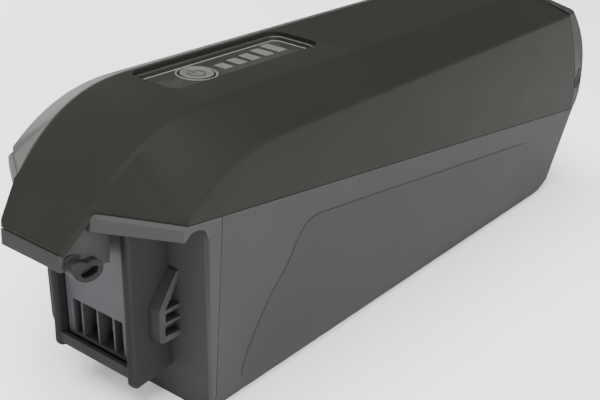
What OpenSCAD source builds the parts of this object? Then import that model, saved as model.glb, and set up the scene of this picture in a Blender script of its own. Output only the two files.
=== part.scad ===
/* [Case] */
// overall length, beak tip to rear
case_length = 370; // [300:0.5:440]
// width across the side walls
case_width = 92; // [80:0.5:110]
// height of the flat top
case_height = 116.4; // [100:0.1:130]
// wall thickness of the mouldings
wall = 2.6; // [2:0.1:4]
// height of the parting line at the beak tip
split_height = 90.28; // [70:0.01:105]
// fall of the parting line per unit of length
split_slope_share = 0.122; // [0:0.001:0.3]
// height of the bevel along the bottom edges
bevel_height = 7.3; // [3:0.1:15]
// depth of the bevel along the bottom edges
bevel_depth = 2.5; // [1:0.1:6]
// half width of the flat top
top_half = 23; // [15:0.5:35]
// drop of the slanted shoulders beside the flat top
shoulder_drop = 9.4; // [4:0.1:16]
// gap at the visible seams between mouldings
seam_gap = 0.3; // [0.2:0.05:0.6]
// clearance between pieces that fit in one another
fit_gap = 0.15; // [0.05:0.05:0.4]
// clearance round the pieces that move
run_gap = 0.35; // [0.3:0.05:0.8]
// overrun of every cutting shape
over = 1; // [0.5:0.5:3]

/* [Hood] */
// distance of the hood crease behind the beak tip
crease_x = 11; // [6:0.5:20]
// height of the hood crease above the parting line
crease_rise = 1.26; // [0.5:0.01:5]
// half width of the hood crease
crease_half = 19.5; // [12:0.5:30]
// where the flat top begins
crown_end_x = 70; // [50:1:100]
// where the swept front edge reaches the sides
sweep_end_x = 29; // [20:0.5:45]
// where the shoulders reach full height
shoulder_end_x = 85; // [60:1:120]
// power of the hood curve
hood_curve_share = 2.5; // [1.5:0.1:4]
// drop of the beak front edge under the crease
beak_fall = 13.9; // [6:0.1:20]
// half width of the beak front edge
beak_half = 16.5; // [10:0.5:25]
// thickness of the beak
beak_t = 2.5; // [1.5:0.1:4]
// radius of the beak front corners
beak_corner_r = 3; // [1:0.5:6]

/* [Rear end] */
// run of the rear slope per unit of height
slope_share = 0.54; // [0.2:0.01:0.9]
// radius of the rear upright edges
rear_edge_r = 3.4; // [2:0.1:8]
// height of the rear knee above the parting line
knee_rise = 11.25; // [6:0.05:20]
// set back of the rear outline over its measuring height
rear_back = 32; // [20:0.5:45]
// measuring height of the rear outline as a share of the height above the knee
rear_rise_share = 0.9; // [0.7:0.01:1.2]
// power of the rear outline
rear_curve_share = 2.3; // [1.5:0.1:4]
// pull-in of the rear outline under the knee
rear_tuck = 5; // [2:0.5:10]
// height of the pull-in under the knee
rear_tuck_z = 11; // [6:0.5:16]
// set back of the foot of the cover rear seam
seam_inset = 10.5; // [6:0.5:20]
// drop of the seam foot under the rear knee
seam_drop = 7; // [3:0.5:12]
// set back of the seam over its measuring height
seam_back = 27; // [15:0.5:40]
// measuring height of the seam as a share of the height above its foot
seam_rise_share = 0.8735; // [0.7:0.0005:1.2]
// power of the seam curve
seam_curve_share = 1.7; // [1.2:0.1:3]
// reach of the cap tongues inside the cover
tongue_reach = 4; // [2:0.5:8]
// thickness of the cap tongues
tongue_t = 1.8; // [1:0.1:3]

/* [End cap] */
// front face of the end wall at the bottom
wall_x = 46.5; // [40:0.5:55]
// lean of the end wall per unit of height
wall_lean_share = 0.068; // [0:0.001:0.15]
// thickness of the end wall
end_wall_t = 3; // [2:0.1:5]
// side seam between end cap and lower shell
end_seam_x = 48.8; // [44:0.1:56]
// radius of the end wall upright edges
end_edge_r = 5; // [2:0.5:8]
// drop of the roof underside under the height of the parting line at the tip
roof_drop = 6.88; // [5:0.01:12]
// drop of the fascia lower edge under the roof underside
fascia_drop = 2.6; // [1:0.1:6]
// thickness of the fascia
fascia_t = 2; // [1:0.1:4]
// width of the flange that the end gasket sits on
flange_w = 5; // [3.5:0.1:8]
// radius of the arches between roof and end wall
arch_r = 5; // [2:0.5:8]

/* [Connector block] */
// centre of the connector block across the width
block_y = -4.5; // [-15:0.5:15]
// half width of the connector block
block_half = 22; // [15:0.5:30]
// front face of the block at the bottom
block_x = 26; // [20:0.5:32]
// lean of the block front per unit of height
block_lean_share = 0.0617; // [0:0.0001:0.15]
// thickness of the block side plates
block_t = 3; // [2:0.1:5]
// bottom of the block side plates
block_z = 14.5; // [8:0.5:25]
// radius of the side plate lower front corner
block_corner_r = 4; // [1:0.5:8]
// bottom of the block crossbar
bar_z = 19.5; // [12:0.5:25]
// top of the block crossbar
bar_top_z = 23.2; // [16:0.1:28]
// thickness of the guide hooks
hook_t = 4.7; // [3:0.1:8]
// depth of the pockets in the guide hooks
hook_pocket = 2; // [1:0.1:3]
// rim and rib width of the guide hooks
hook_rim = 1.6; // [1:0.1:3]

/* [Nose and eye lug] */
// half width of the nose box
nose_half = 17.3; // [12:0.1:24]
// half width of the nose box at its front
nose_front_half = 15.2; // [10:0.1:22]
// front face of the nose box
nose_x = 1.7; // [1:0.1:4]
// wall thickness of the nose box
nose_t = 2; // [1.5:0.1:3]
// reach of the eye lug beyond the nose box
lug_reach = 6.7; // [4:0.1:12]
// radius of the two lobes of the eye lug
lug_r = 4.3; // [3:0.1:6]
// height of the slot through the eye lug
lug_slot = 3; // [2:0.1:4]
// front and back centres of the lug lobes
lug_front_x = 4.4; // [3:0.1:8]
// back lobe centre
lug_back_x = 10; // [8:0.1:16]
// drop of the lug lobes under the roof underside
lug_drop = 13.9; // [10:0.1:20]

/* [Socket] */
// depth of the socket face behind the block front
socket_recess = 3.6; // [2:0.1:6]
// half width of the socket face
socket_half = 17.5; // [14:0.1:19]
// bottom of the socket housing
socket_z = 24.2; // [23.5:0.1:28]
// thickness of the socket face plate
socket_plate_t = 3; // [2:0.1:5]
// bottom of the slots
slot_z = 25.2; // [24.8:0.1:30]
// height of the slots
slot_h = 13; // [8:0.1:18]
// width of the outer slots
slot_narrow = 4.2; // [3:0.1:6]
// width of the inner slots
slot_wide = 7.7; // [5:0.1:10]
// width of the ribs between the slots
slot_rib = 1; // [0.8:0.1:2]
// back end of the slots
slot_end_x = 42; // [36:0.5:43]
// back end of the contacts
tail_end_x = 57; // [52:0.5:60]
// thickness of the socket gasket
gasket_t = 1.2; // [0.8:0.1:2]

/* [Display] */
// front edge of the display pocket
pocket_x = 67; // [55:0.5:90]
// rear edge of the display pocket
pocket_end_x = 159; // [120:0.5:175]
// left edge of the display pocket
pocket_y = -5.8; // [-20:0.1:5]
// right edge of the display pocket
pocket_far_y = 20.9; // [10:0.1:22.5]
// corner radius of the display pocket
pocket_r = 6; // [2:0.5:10]
// depth of the display panel seat under the flat top
seat_depth = 6; // [4:0.1:9]
// thickness of the display panel
panel_t = 2; // [1:0.1:3]
// thickness of the pocket floor and walls
tub_t = 2.4; // [1.6:0.1:3.5]
// drop of the bezel top under the flat top
bezel_drop = 1.7; // [0.5:0.1:3]
// thickness of the bezel frame
bezel_t = 1.6; // [1:0.1:3]
// button centre along the length
button_x = 95.8; // [80:0.1:110]
// button centre across the width
button_y = 10.1; // [5:0.1:15]
// outer radius of the button ring
ring_r = 9; // [6:0.1:11]
// radius of the button
button_r = 7; // [4:0.1:9]
// thickness of the button
button_t = 1.4; // [1:0.1:3]
// travel of the button
button_travel = 0.8; // [0.3:0.1:2]
// radius of the button stem
stem_r = 2; // [1:0.1:3]
// drop of the display board top under the flat top
board_drop = 13.4; // [12:0.1:15]
// thickness of the circuit boards
board_t = 1.6; // [1:0.1:2]

/* [Cells] */
// columns of cells
cell_columns = 13; // [8:1:16]
// rows of cells
cell_rows = 5; // [3:1:5]
// gap between neighbouring cells
cell_gap = 0.9; // [0.3:0.1:2]
// room beside the cells for strips, sheets and leads
cell_side_room = 13.4; // [11:0.1:20]
// centre of the front column
cell_x = 74; // [70:0.5:90]
// distance of the rear column centre from the rear end
cell_rear_room = 65.6; // [60:0.1:80]
// centre of the bottom row
cell_z = 13.8; // [12:0.1:16]
// distance of the top row centre under the flat top
cell_top_room = 25.8; // [24:0.1:32]
// thickness of the holder combs
holder_t = 8; // [5:0.5:15]
// rim of the holders round the outer cells
holder_rim = 1.25; // [0.8:0.05:3]
// thickness of the nickel strips
nickel_t = 0.3; // [0.1:0.05:0.5]
// thickness of the insulator sheets
sheet_t = 0.5; // [0.3:0.1:1]

/* [Fasteners] */
// radius of the case screw shank
screw_r = 1.5; // [1:0.1:2.5]
// radius of the case screw head
screw_head_r = 2.5; // [2:0.1:4]
// height of the case screw head
screw_head_t = 1.8; // [1:0.1:3]
// length of the case screw shank
screw_length = 12; // [8:0.5:20]
// radius of the threaded inserts
insert_r = 2.3; // [1.8:0.1:3.5]
// length of the threaded inserts
insert_length = 6; // [4:0.5:10]
// radius of the screw posts
post_r = 3.7; // [3.5:0.1:6]
// radius of the board screw shank
small_screw_r = 1; // [0.8:0.1:1.5]
// radius of the board screw head
small_head_r = 1.9; // [1.4:0.1:3]
// height of the board screw head
small_head_t = 1.1; // [0.8:0.1:2]

/* [Charge port] */
// distance of the charge port centre from the rear end
port_inset = 7.6; // [5:0.1:12]
// height of the charge port centre above the rear knee
port_rise = 6; // [4:0.5:12]
// bore radius of the charge socket
port_bore_r = 3.3; // [2.5:0.1:4]
// outer radius of the charge socket
port_body_r = 4.2; // [3.8:0.1:5]
// length of the charge socket
port_length = 13; // [9:0.5:18]
// radius of the port flap
flap_r = 4.1; // [3.5:0.1:6]
// thickness of the port flap
flap_t = 1.5; // [1:0.1:2.5]
// how far the flap stands proud of the side
flap_proud = 0.2; // [0:0.1:0.4]
// height of the flap hinge above the port centre
hinge_rise = 6.2; // [5:0.1:9]
// radius of the flap knuckle
knuckle_r = 1.15; // [0.9:0.05:1.5]
// radius of the hinge pin
hinge_pin_r = 0.35; // [0.3:0.05:0.6]
// width of the flap knuckle
knuckle_w = 3; // [2:0.1:5]

/* [Lock bush] */
// distance of the lock bush centre from the rear end
lock_back = 42; // [30:0.5:60]
// bore radius of the lock bush
lock_bore_r = 4; // [2:0.5:6]
// outer radius of the lock bush
lock_outer_r = 6; // [4:0.5:9]
// length of the lock bush
lock_length = 10; // [6:0.5:16]

/* [Leads] */
// radius of the power leads
lead_r = 1.7; // [1:0.1:2.5]
// radius of the charge leads
thin_lead_r = 1.1; // [0.6:0.1:1.6]

/* [Hidden] */
$fn = 64;
lead_sides = 8;
part = case_length / 2;
half = case_width / 2;

// outline tables
hook_points = [[42.5, 59], [32, 45.6], [33, 32.6], [44.4, 31.1]];
slope_foot_points = [[-5, 0], [-1, 0.8], [2, 3.4], [4, 7.4]];
hood_stations = [11, 14, 18, 22, 26, 29, 34, 40, 46, 52, 58, 64, 70, 77, 85];
rear_step_shares = [0, 0.05, 0.1, 0.15, 0.2, 0.28, 0.37, 0.48, 0.59, 0.7, 0.8, 0.9, 1];
seam_step_shares = [0, 0.12, 0.24, 0.36, 0.48, 0.6, 0.72, 0.84, 0.94, 1];
tongue_step_shares = [0, 0.18, 0.36, 0.54, 0.72, 1];
arc_step_shares = [0, 0.25, 0.5, 0.75, 1];

// outline of the hood, the parting line and the rear end
function split(x) = split_height - split_slope_share * x;
function lean_wall(z) = wall_x - wall_lean_share * z;
function lean_block(z) = block_x - block_lean_share * z;
function part_of(x, from, to) = min(1, max(0, (x - from) / (to - from)));
crease_z = split(crease_x) + crease_rise;
beak_z = crease_z - beak_fall;
roof_z = split_height - roof_drop;
fascia_z = roof_z - fascia_drop;
shoulder_z = case_height - shoulder_drop;
hood_foot_z = split(case_length) - rear_tuck;
function hood_rest(x) = pow(1 - part_of(x, crease_x, crown_end_x), hood_curve_share);
function side_rest(x) = pow(1 - part_of(x, sweep_end_x, shoulder_end_x), hood_curve_share);
function crown(x) = case_height - (case_height - crease_z) * hood_rest(x);
function crown_half(x) = top_half - (top_half - crease_half) * hood_rest(x);
function sweep_half(x) = crease_half + seam_gap
  + (half - crease_half - seam_gap) * part_of(x, crease_x, sweep_end_x);
function shoulder(x) = x < sweep_end_x
  ? split(x) + over * (1 - part_of(x, crease_x, sweep_end_x))
  : shoulder_z - (shoulder_z - split(sweep_end_x)) * side_rest(x);
rear_meet_z = split(case_length - rear_tuck);
rear_knee_z = rear_meet_z + knee_rise;
rear_rise = (case_height - rear_knee_z) * rear_rise_share;
rear_low_z = split(case_length) - wall;
seam_x = case_length - seam_inset;
seam_z = rear_knee_z - seam_drop;
seam_rise = (case_height - seam_z) * seam_rise_share;
function rear(z) = z > rear_knee_z
  ? case_length - rear_back * pow((z - rear_knee_z) / rear_rise, rear_curve_share)
  : case_length - rear_tuck * pow((rear_knee_z - z) / rear_tuck_z, 2);
function seam(z) = seam_x - seam_back * pow(max(0, z - seam_z) / seam_rise, seam_curve_share);
function seam_points(gap) = [for (s = seam_step_shares)
  let (z = seam_z + (case_height + over - seam_z) * s) [seam(z) + gap, z]];
slope_x = rear(rear_meet_z) - slope_share * rear_meet_z;
slope_lean = norm([1, slope_share]);

// raised side panels: distance from an end, share of the seam height
panel_proud = 0.4;
panel_front_xs = [104, 100, 94.6, 88.9, 79, 66.8];
panel_front_shares = [0.8455, 0.803, 0.7366, 0.6106, 0.4898, 0.2557];
panel_rear_backs = [49, 58.3, 66.5, 72];
panel_rear_shares = [0.3482, 0.5703, 0.7399, 0.7863];
panel_foot_x = 61.8;
panel_foot_back = 41.5;
panel_foot_rise = 0.7;
panel_foot_z = bevel_height + panel_foot_rise;
panel_outline = concat(
  [for (i = [0:5]) [panel_front_xs[i], split(panel_front_xs[i]) * panel_front_shares[i]]],
  [[panel_foot_x, panel_foot_z], [case_length - panel_foot_back, panel_foot_z]],
  [for (i = [0:3]) let (x = case_length - panel_rear_backs[i]) [x, split(x) * panel_rear_shares[i]]]);

// light bars: start, width and far end of each
panel_seat_z = case_height - seat_depth;
bezel_z = case_height - bezel_drop;
board_z = case_height - board_drop;
bar_table = [[109.4, 5.4, 13.1], [118.4, 5.4, 14.3], [127.2, 5.6, 15.1], [136.3, 5.6, 16.4], [145, 5.7, 18]];
bar_y = 6.6;
pipe_y = 10;
pipe_r = 1.4;

// cells and their room
cell_length = case_width - cell_side_room * 2;
cell_half = cell_length / 2;
pitch_x = (case_length - cell_x - cell_rear_room) / (cell_columns - 1);
pitch_z = (case_height - cell_z - cell_top_room) / (cell_rows - 1);
cell_r = (min(pitch_x, pitch_z) - cell_gap) / 2;
holder_edge = cell_r + holder_rim;
function col_x(c) = cell_x + pitch_x * c;
function row_z(r) = cell_z + pitch_z * r;
holder_top = row_z(cell_rows - 1) + holder_edge;

// management board and its grid
bms_front_gap = 9;
bms_rear_room = 70;
bms_drop = 10.3;
bms_side_gap = 0.6;
bms_x = pocket_end_x + bms_front_gap;
bms_end_x = case_length - bms_rear_room;
bms_z = case_height - bms_drop;
bms_half = cell_half - bms_side_gap;
bms_step = (bms_end_x - bms_x) / 11;

// places of the fasteners
cover_screw_x = 56.6;
cover_screw_back = 44;
cover_screw_side = 8.7;
roof_screw_x = 36;
roof_screw_side = 10;
floor_screw_x = 54.5;
floor_screw_y = 22;
cap_screw_back = 15;
cap_screw_side = 16;
bms_screw_in = 4;
bms_screw_back = 12;
bms_screw_side = 3;
cover_screws_at = [for (x = [cover_screw_x, case_length - cover_screw_back], s = [-1, 1])
  [x, s * (half - cover_screw_side)]];
roof_screws_at = [for (s = [-1, 1]) [roof_screw_x, s * (half - roof_screw_side)]];
floor_screws_at = [for (s = [-1, 1]) [floor_screw_x, s * floor_screw_y]];
cap_screws_at = [for (s = [-1, 1]) [case_length - cap_screw_back, s * (half - cap_screw_side)]];
display_screws_at = [[89, -1], [154, -1], [154, 17.8], [107, 17.8]];
bms_screws_at = [for (x = [bms_x + bms_screw_in, bms_end_x - bms_screw_back], s = [-1, 1])
  [x, s * (cell_half - bms_screw_side)]];
tie_bolt_shares = [[0, 0], [0, 3], [5, 1], [6, 2], [11, 0], [11, 3]];
port_x = case_length - port_inset;
port_z = rear_knee_z + port_rise;
lock_x = case_length - lock_back;

// a profile in the long upright plane, run across from y0 to y1
module across(points, y0, y1) {
  translate([0, y1, 0]) rotate([90, 0, 0]) linear_extrude(height = y1 - y0) polygon(points);
}
// a profile in the cross plane, run along from x0 to x1
module along(points, x0, x1) {
  translate([x0, 0, 0]) rotate([90, 0, 90]) linear_extrude(height = x1 - x0) polygon(points);
}
module block(x0, x1, y0, y1, z0, z1) {
  translate([x0, y0, z0]) cube([x1 - x0, y1 - y0, z1 - z0]);
}
// a block on one side, y measured outwards from the middle
module side_block(s, x0, x1, y0, y1, z0, z1) {
  block(x0, x1, s < 0 ? -y1 : y0, s < 0 ? -y0 : y1, z0, z1);
}
module upright(x, y, z0, z1, r) {
  translate([x, y, z0]) cylinder(h = z1 - z0, r = r);
}
module crosswise(x, z, y0, y1, r) {
  translate([x, y1, z]) rotate([90, 0, 0]) cylinder(h = y1 - y0, r = r);
}
module lengthwise(y, z, x0, x1, r) {
  translate([x0, y, z]) rotate([0, 90, 0]) cylinder(h = x1 - x0, r = r);
}
module rounded_plate(x0, x1, y0, y1, r) {
  union() {
    translate([x0 + r, y0]) square([x1 - x0 - r * 2, y1 - y0]);
    translate([x0, y0 + r]) square([x1 - x0, y1 - y0 - r * 2]);
    for (x = [x0 + r, x1 - r], y = [y0 + r, y1 - r]) translate([x, y]) circle(r = r);
  }
}

// closed skin over rings of points with the same count
function ring_faces(rings, n) = concat(
  [[for (i = [0:n - 1]) i]],
  [for (s = [0:rings - 2], i = [0:n - 1]) each [
    [s * n + i, (s + 1) * n + i, s * n + (i + 1) % n],
    [s * n + (i + 1) % n, (s + 1) * n + i, (s + 1) * n + (i + 1) % n]]],
  [[for (i = [n - 1:-1:0]) (rings - 1) * n + i]]);

function shoulder_in(x, w) = min(shoulder(x) - w * 2 / 3, crown(x) - w - seam_gap / 2);
function crown_in(x, w) = min(crown_half(x) - w / 5, sweep_half(x) - w - seam_gap / 2);
function hood_ring(x, at, w) = [
  [at, sweep_half(x) - w, hood_foot_z], [at, sweep_half(x) - w, shoulder_in(x, w)],
  [at, crown_in(x, w), crown(x) - w], [at, -crown_in(x, w), crown(x) - w],
  [at, -sweep_half(x) + w, shoulder_in(x, w)], [at, -sweep_half(x) + w, hood_foot_z]];
module hood(w) {
  xs = concat(hood_stations, [case_length + over]);
  polyhedron(points = [for (x = xs) each hood_ring(x, x + w, w)], faces = ring_faces(len(xs), 6));
}
function rear_ring(z, w) = let (x = rear(z) - rear_edge_r, y = half - rear_edge_r, r = rear_edge_r - w)
  concat(
  [[seam_x - case_width, -half + w, z]],
  [for (t = arc_step_shares) [x + r * sin(90 * t), -y - r * cos(90 * t), z]],
  [for (t = arc_step_shares) [x + r * cos(90 * t), y + r * sin(90 * t), z]],
  [[seam_x - case_width, half - w, z]]);
module rear_form(w) {
  zs = [for (s = rear_step_shares) rear_low_z + (case_height + over - rear_low_z) * s];
  polyhedron(points = [for (z = zs) each rear_ring(z, w)], faces = ring_faces(len(zs), 12));
}

// cross section of the upper case behind the hood
function upper_section(w) = [
  [-half + w, 0], [-half + w, shoulder_z - w * 2 / 3], [-top_half + w / 5, case_height - w],
  [top_half - w / 5, case_height - w], [half - w, shoulder_z - w * 2 / 3], [half - w, 0]];
// cross section of the lower case with its bevels
function lower_section(w) = [
  [-half + bevel_depth + w / 2, w], [half - bevel_depth - w / 2, w], [half - w, bevel_height + w / 4],
  [half - w, case_height], [-half + w, case_height], [-half + w, bevel_height + w / 4]];

// band of the given height limits measured from the parting line
function split_band(x0, x1, low, high) = [
  [x0, split(x0) + low], [x1, split(x1) + low], [x1, split(x1) + high], [x0, split(x0) + high]];

// frame shaped run along the parting line inside the walls
gasket_w = 1.8;
gasket_half = half - wall - fit_gap;
frame_x = end_seam_x + gasket_w;
frame_rear_gap = 22;
frame_end_x = case_length - frame_rear_gap;
frame_w = 2.2;
frame_t = 2.4;
frame_half = half - wall + fit_gap;
module split_frame(low, high, w) {
  difference() {
    intersection() {
      across(split_band(frame_x, frame_end_x, low, high), -half, half);
      block(frame_x, frame_end_x, -frame_half, frame_half, 0, case_height);
    }
    block(frame_x + w, frame_end_x - w, -frame_half + w, frame_half - w, 0, case_height);
  }
}

seal_low = -0.6;
seal_high = 0.9;
post_cap = 6;
boss_drop = 1.7;
insert_hole = insert_length * 1.5;

module screw(x, y, z, length) {
  upright(x, y, z - screw_head_t, z, screw_head_r);
  upright(x, y, z, z + length, screw_r);
}
module screw_cut(x, y, low, seat, top) {
  upright(x, y, low, seat, screw_head_r + run_gap);
  upright(x, y, seat - over / 2, top, screw_r + fit_gap);
}
module insert(x, y, z) {
  difference() {
    upright(x, y, z, z + insert_length, insert_r);
    upright(x, y, z - over, z + insert_length + over, screw_r);
  }
}
function post_top(p) = split(p[0]) - boss_drop - seam_gap;
function boss_z(p) = post_top(p) + seam_gap;
function roof_boss_z(p) = split(p[0]) + seam_gap;
function seat_z(p) = post_top(p) - post_cap;
cap_tab_z = split(cap_screws_at[0][0]) + seam_gap;
cap_seat_z = cap_tab_z - seam_gap - post_cap;
floor_pad_z = 4.6;
floor_seat_z = 2.4;
floor_boss_z = floor_pad_z + seam_gap;
tub_z = panel_seat_z - tub_t;
tub_far_y = pocket_far_y + tub_t - over / 2;
display_post_r = small_head_r + fit_gap * 2;
cover_outline = concat(
  [[0, split(0) + seam_gap / 2], [seam_x - over, split(seam_x - over) + seam_gap / 2]],
  seam_points(0), [[0, case_height + over]]);

module top_cover() {
  color([0.3, 0.3, 0.28]) difference() {
    union() {
      difference() {
        intersection() {
          hood(0);
          across(cover_outline, -half - over, half + over);
        }
        hood(wall);
      }
      beak();
      intersection() {
        hood(over / 2);
        cover_inside();
      }
    }
    translate([0, 0, panel_seat_z]) linear_extrude(height = case_height)
      rounded_plate(pocket_x, pocket_end_x, pocket_y, pocket_far_y, pocket_r);
    upright(button_x, button_y, board_z, case_height, stem_r + run_gap);
    for (b = bar_table) upright(b[0] + b[1] / 2, pipe_y, board_z, case_height, pipe_r + fit_gap);
    for (p = cover_screws_at) upright(p[0], p[1], boss_z(p) - over, boss_z(p) + insert_hole, insert_r);
    for (p = roof_screws_at)
      upright(p[0], p[1], roof_boss_z(p) - over, roof_boss_z(p) + insert_hole, insert_r);
    for (p = display_screws_at) upright(p[0], p[1], board_z - over, tub_z + tub_t / 2, small_screw_r);
  }
}
// screw posts, display tub and seal frame inside the cover
module cover_inside() {
  for (p = cover_screws_at) upright(p[0], p[1], boss_z(p), case_height, post_r);
  for (p = roof_screws_at) upright(p[0], p[1], roof_boss_z(p), case_height, post_r);
  block(pocket_x - tub_t, pocket_end_x + tub_t, pocket_y - tub_t, tub_far_y, tub_z, case_height);
  for (p = display_screws_at) upright(p[0], p[1], board_z, case_height, display_post_r);
  split_frame(seal_high, seal_high + gasket_w, frame_w);
}
beak_length = norm([crease_x, beak_fall]);
beak_in = beak_t * beak_fall / beak_length;
beak_down = beak_t * crease_x / beak_length;
module beak() {
  intersection() {
    across([[0, beak_z], [beak_in, beak_z - beak_down], [crease_x + beak_in, crease_z - beak_down],
      [crease_x + wall, crease_z - over], [crease_x, crease_z]], -half, half);
    linear_extrude(height = case_height) {
      polygon([[beak_corner_r, -beak_half], [crease_x, -crease_half], [crease_x * 2, -crease_half],
        [crease_x * 2, crease_half], [crease_x, crease_half], [beak_corner_r, beak_half]]);
      translate([0, -beak_half + beak_corner_r]) square([crease_x, (beak_half - beak_corner_r) * 2]);
      for (s = [-1, 1]) translate([beak_corner_r, s * (beak_half - beak_corner_r)])
        circle(r = beak_corner_r);
    }
  }
}
module slope_prism() {
  translate([slope_x, 0, 0]) rotate([0, atan(slope_share), 0]) translate([0, 0, -case_length])
    linear_extrude(height = case_length * 2) rounded_plate(-case_length * 2, 0, -half, half, rear_edge_r);
}
module lower_form(w) {
  x0 = end_seam_x + seam_gap / 2 - w;
  intersection() {
    across(concat([[x0, w]], [for (p = slope_foot_points) [slope_x + p[0] - w, p[1] + w]],
      [[slope_x + slope_share * case_height - w * slope_lean, case_height], [x0, case_height]]), -half, half);
    along(lower_section(w), x0, case_length);
  }
}
module under_split(low) {
  across([[-over, -over], [case_length + over, -over], [case_length + over, split(case_length + over) + low],
    [-over, split(-over) + low]], -half - over, half + over);
}
sill_z = split(frame_x + frame_w) + seal_low - over;
lock_inset = 0.4;
stop_t = 2;
stop_y = cell_half - holder_t / 2;
stop_z = 20;
stop_xs = [cell_x - holder_edge - fit_gap - stop_t, col_x(cell_columns - 1) + holder_edge + fit_gap];
guide_y = cell_half + nickel_t + sheet_t + fit_gap;
guide_z = 34;
guide_xs = [for (c = [2, 6, 10]) col_x(c)];
module lower_shell() {
  color([0.42, 0.42, 0.43]) difference() {
    union() {
      intersection() {
        difference() {
          intersection() {
            lower_form(0);
            slope_prism();
          }
          lower_form(wall);
        }
        under_split(-seam_gap / 2);
      }
      across(panel_outline, -half - panel_proud, -half + over);
      across(panel_outline, half - over, half + panel_proud);
      intersection() {
        lower_form(over / 2);
        lower_inside();
      }
    }
    for (p = cover_screws_at) screw_cut(p[0], p[1], -over, seat_z(p), post_top(p) + over);
    for (p = floor_screws_at) screw_cut(p[0], p[1], -over, floor_seat_z, floor_pad_z + over);
    for (p = cap_screws_at) screw_cut(p[0], p[1], -over, cap_seat_z, cap_tab_z + over);
    upright(lock_x, 0, -over, lock_length + lock_inset, lock_outer_r);
  }
}
// seal frame, posts, lock well and cell ribs inside the lower shell
module lower_inside() {
  split_frame(seal_low - frame_t, seal_low, frame_w);
  difference() {
    block(frame_x, frame_x + frame_w, -frame_half, frame_half, 0, sill_z);
    block(frame_x - over, frame_x + frame_w + over, -frame_half + frame_w, frame_half - frame_w,
      floor_pad_z, sill_z - over);
  }
  for (p = cover_screws_at) {
    upright(p[0], p[1], 0, post_top(p), post_r);
    side_block(sign(p[1]), p[0] - stop_t / 2, p[0] + stop_t / 2, abs(p[1]), frame_half, 0, post_top(p));
  }
  for (p = floor_screws_at) upright(p[0], p[1], 0, floor_pad_z, post_r);
  for (p = cap_screws_at) upright(p[0], p[1], 0, cap_tab_z - seam_gap, post_r);
  upright(lock_x, 0, 0, lock_length + wall * 1.5, lock_outer_r + wall);
  for (x = stop_xs, s = [-1, 1]) side_block(s, x, x + stop_t, stop_y, frame_half, 0, stop_z);
  for (x = guide_xs, s = [-1, 1]) side_block(s, x, x + stop_t, guide_y, frame_half, 0, guide_z);
}

module lock_bush() {
  color([0.7, 0.7, 0.72]) difference() {
    upright(lock_x, 0, lock_inset, lock_inset + lock_length, lock_outer_r);
    upright(lock_x, 0, 0, lock_length + over, lock_bore_r);
  }
}
// end cap
roof_plan = [[crease_x, -crease_half], [crease_x, crease_half], [sweep_end_x, half], [end_seam_x, half],
  [end_seam_x, -half], [sweep_end_x, -half]];
module inset_plan(w) {
  polygon([[crease_x + w, -crease_half - over / 2], [crease_x + w, crease_half + over / 2],
    [sweep_end_x + w / 2, half - w], [end_seam_x + over, half - w],
    [end_seam_x + over, -half + w], [sweep_end_x + w / 2, -half + w]]);
}
wall_lean = atan(wall_lean_share);
module leaning_wall(shift) {
  translate([wall_x + shift, 0, 0]) rotate([0, -wall_lean, 0]) translate([0, 0, -wall_x])
    linear_extrude(height = case_height * 2) rounded_plate(0, wall_x * 2, -half, half, end_edge_r);
}
// end wall with the flanges that the end gasket sits on
module end_wall() {
  intersection() {
    difference() {
      leaning_wall(0);
      intersection() {
        leaning_wall(end_wall_t);
        block(0, case_width, -half + flange_w, half - flange_w, floor_pad_z, roof_z - flange_w / 2);
      }
    }
    along(lower_section(0), 0, end_seam_x - seam_gap / 2);
    under_split(-seam_gap / 2);
  }
}
// roof over the niche, with a fascia and room for the beak
module end_roof() {
  intersection() {
    under_split(-seam_gap / 2);
    difference() {
      translate([0, 0, fascia_z]) linear_extrude(height = case_height - fascia_z) polygon(roof_plan);
      translate([0, 0, fascia_z - over]) linear_extrude(height = roof_z - fascia_z + over)
        inset_plan(fascia_t);
      for (s = [-1, 1]) side_block(s, sweep_end_x + fascia_t, lean_wall(roof_z) - over,
        half - fascia_t - over, half + over, fascia_z - over, roof_z);
      block(lean_wall(roof_z) + end_wall_t, case_width, -half + flange_w, half - flange_w,
        0, roof_z - flange_w / 2);
      block(0, crease_x + beak_in + seam_gap, -crease_half - seam_gap, crease_half + seam_gap,
        0, case_height);
    }
  }
}
// arch in the corner of roof and wall
module niche_arch(s) {
  x = lean_wall(roof_z);
  across(concat(
    [for (t = arc_step_shares) [x - arch_r * (1 - sin(90 * t)), roof_z - arch_r * (1 - cos(90 * t))]],
    [[x + over, roof_z - arch_r], [x + over, roof_z + over / 2], [x - arch_r, roof_z + over / 2]]),
    s < 0 ? -half : half - wall, s < 0 ? -half + wall : half);
}
block_lo = block_y - block_half;
block_hi = block_y + block_half;
module block_profile(y0, y1, low, high, inset) {
  across([[lean_block(low) + inset, low], [lean_wall(low) + over, low], [lean_wall(high) + over, high],
    [lean_block(high) + inset, high]], y0, y1);
}
module side_plate(y0) {
  x1 = lean_block(block_z) + block_corner_r;
  z1 = block_z + block_corner_r;
  difference() {
    block_profile(y0, y0 + block_t, block_z, roof_z + over, 0);
    difference() {
      block(block_x - block_corner_r, x1, y0 - over, y0 + block_t + over, block_z - over, z1);
      crosswise(x1, z1, y0 - over * 2, y0 + block_t + over * 2, block_corner_r);
    }
  }
}
hook_mid = [38.5, 42];
hook_inner_share = 0.76;
hook_rows = [31.5, 37.6, 43.7];
hook_row_h = 4.9;
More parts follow.
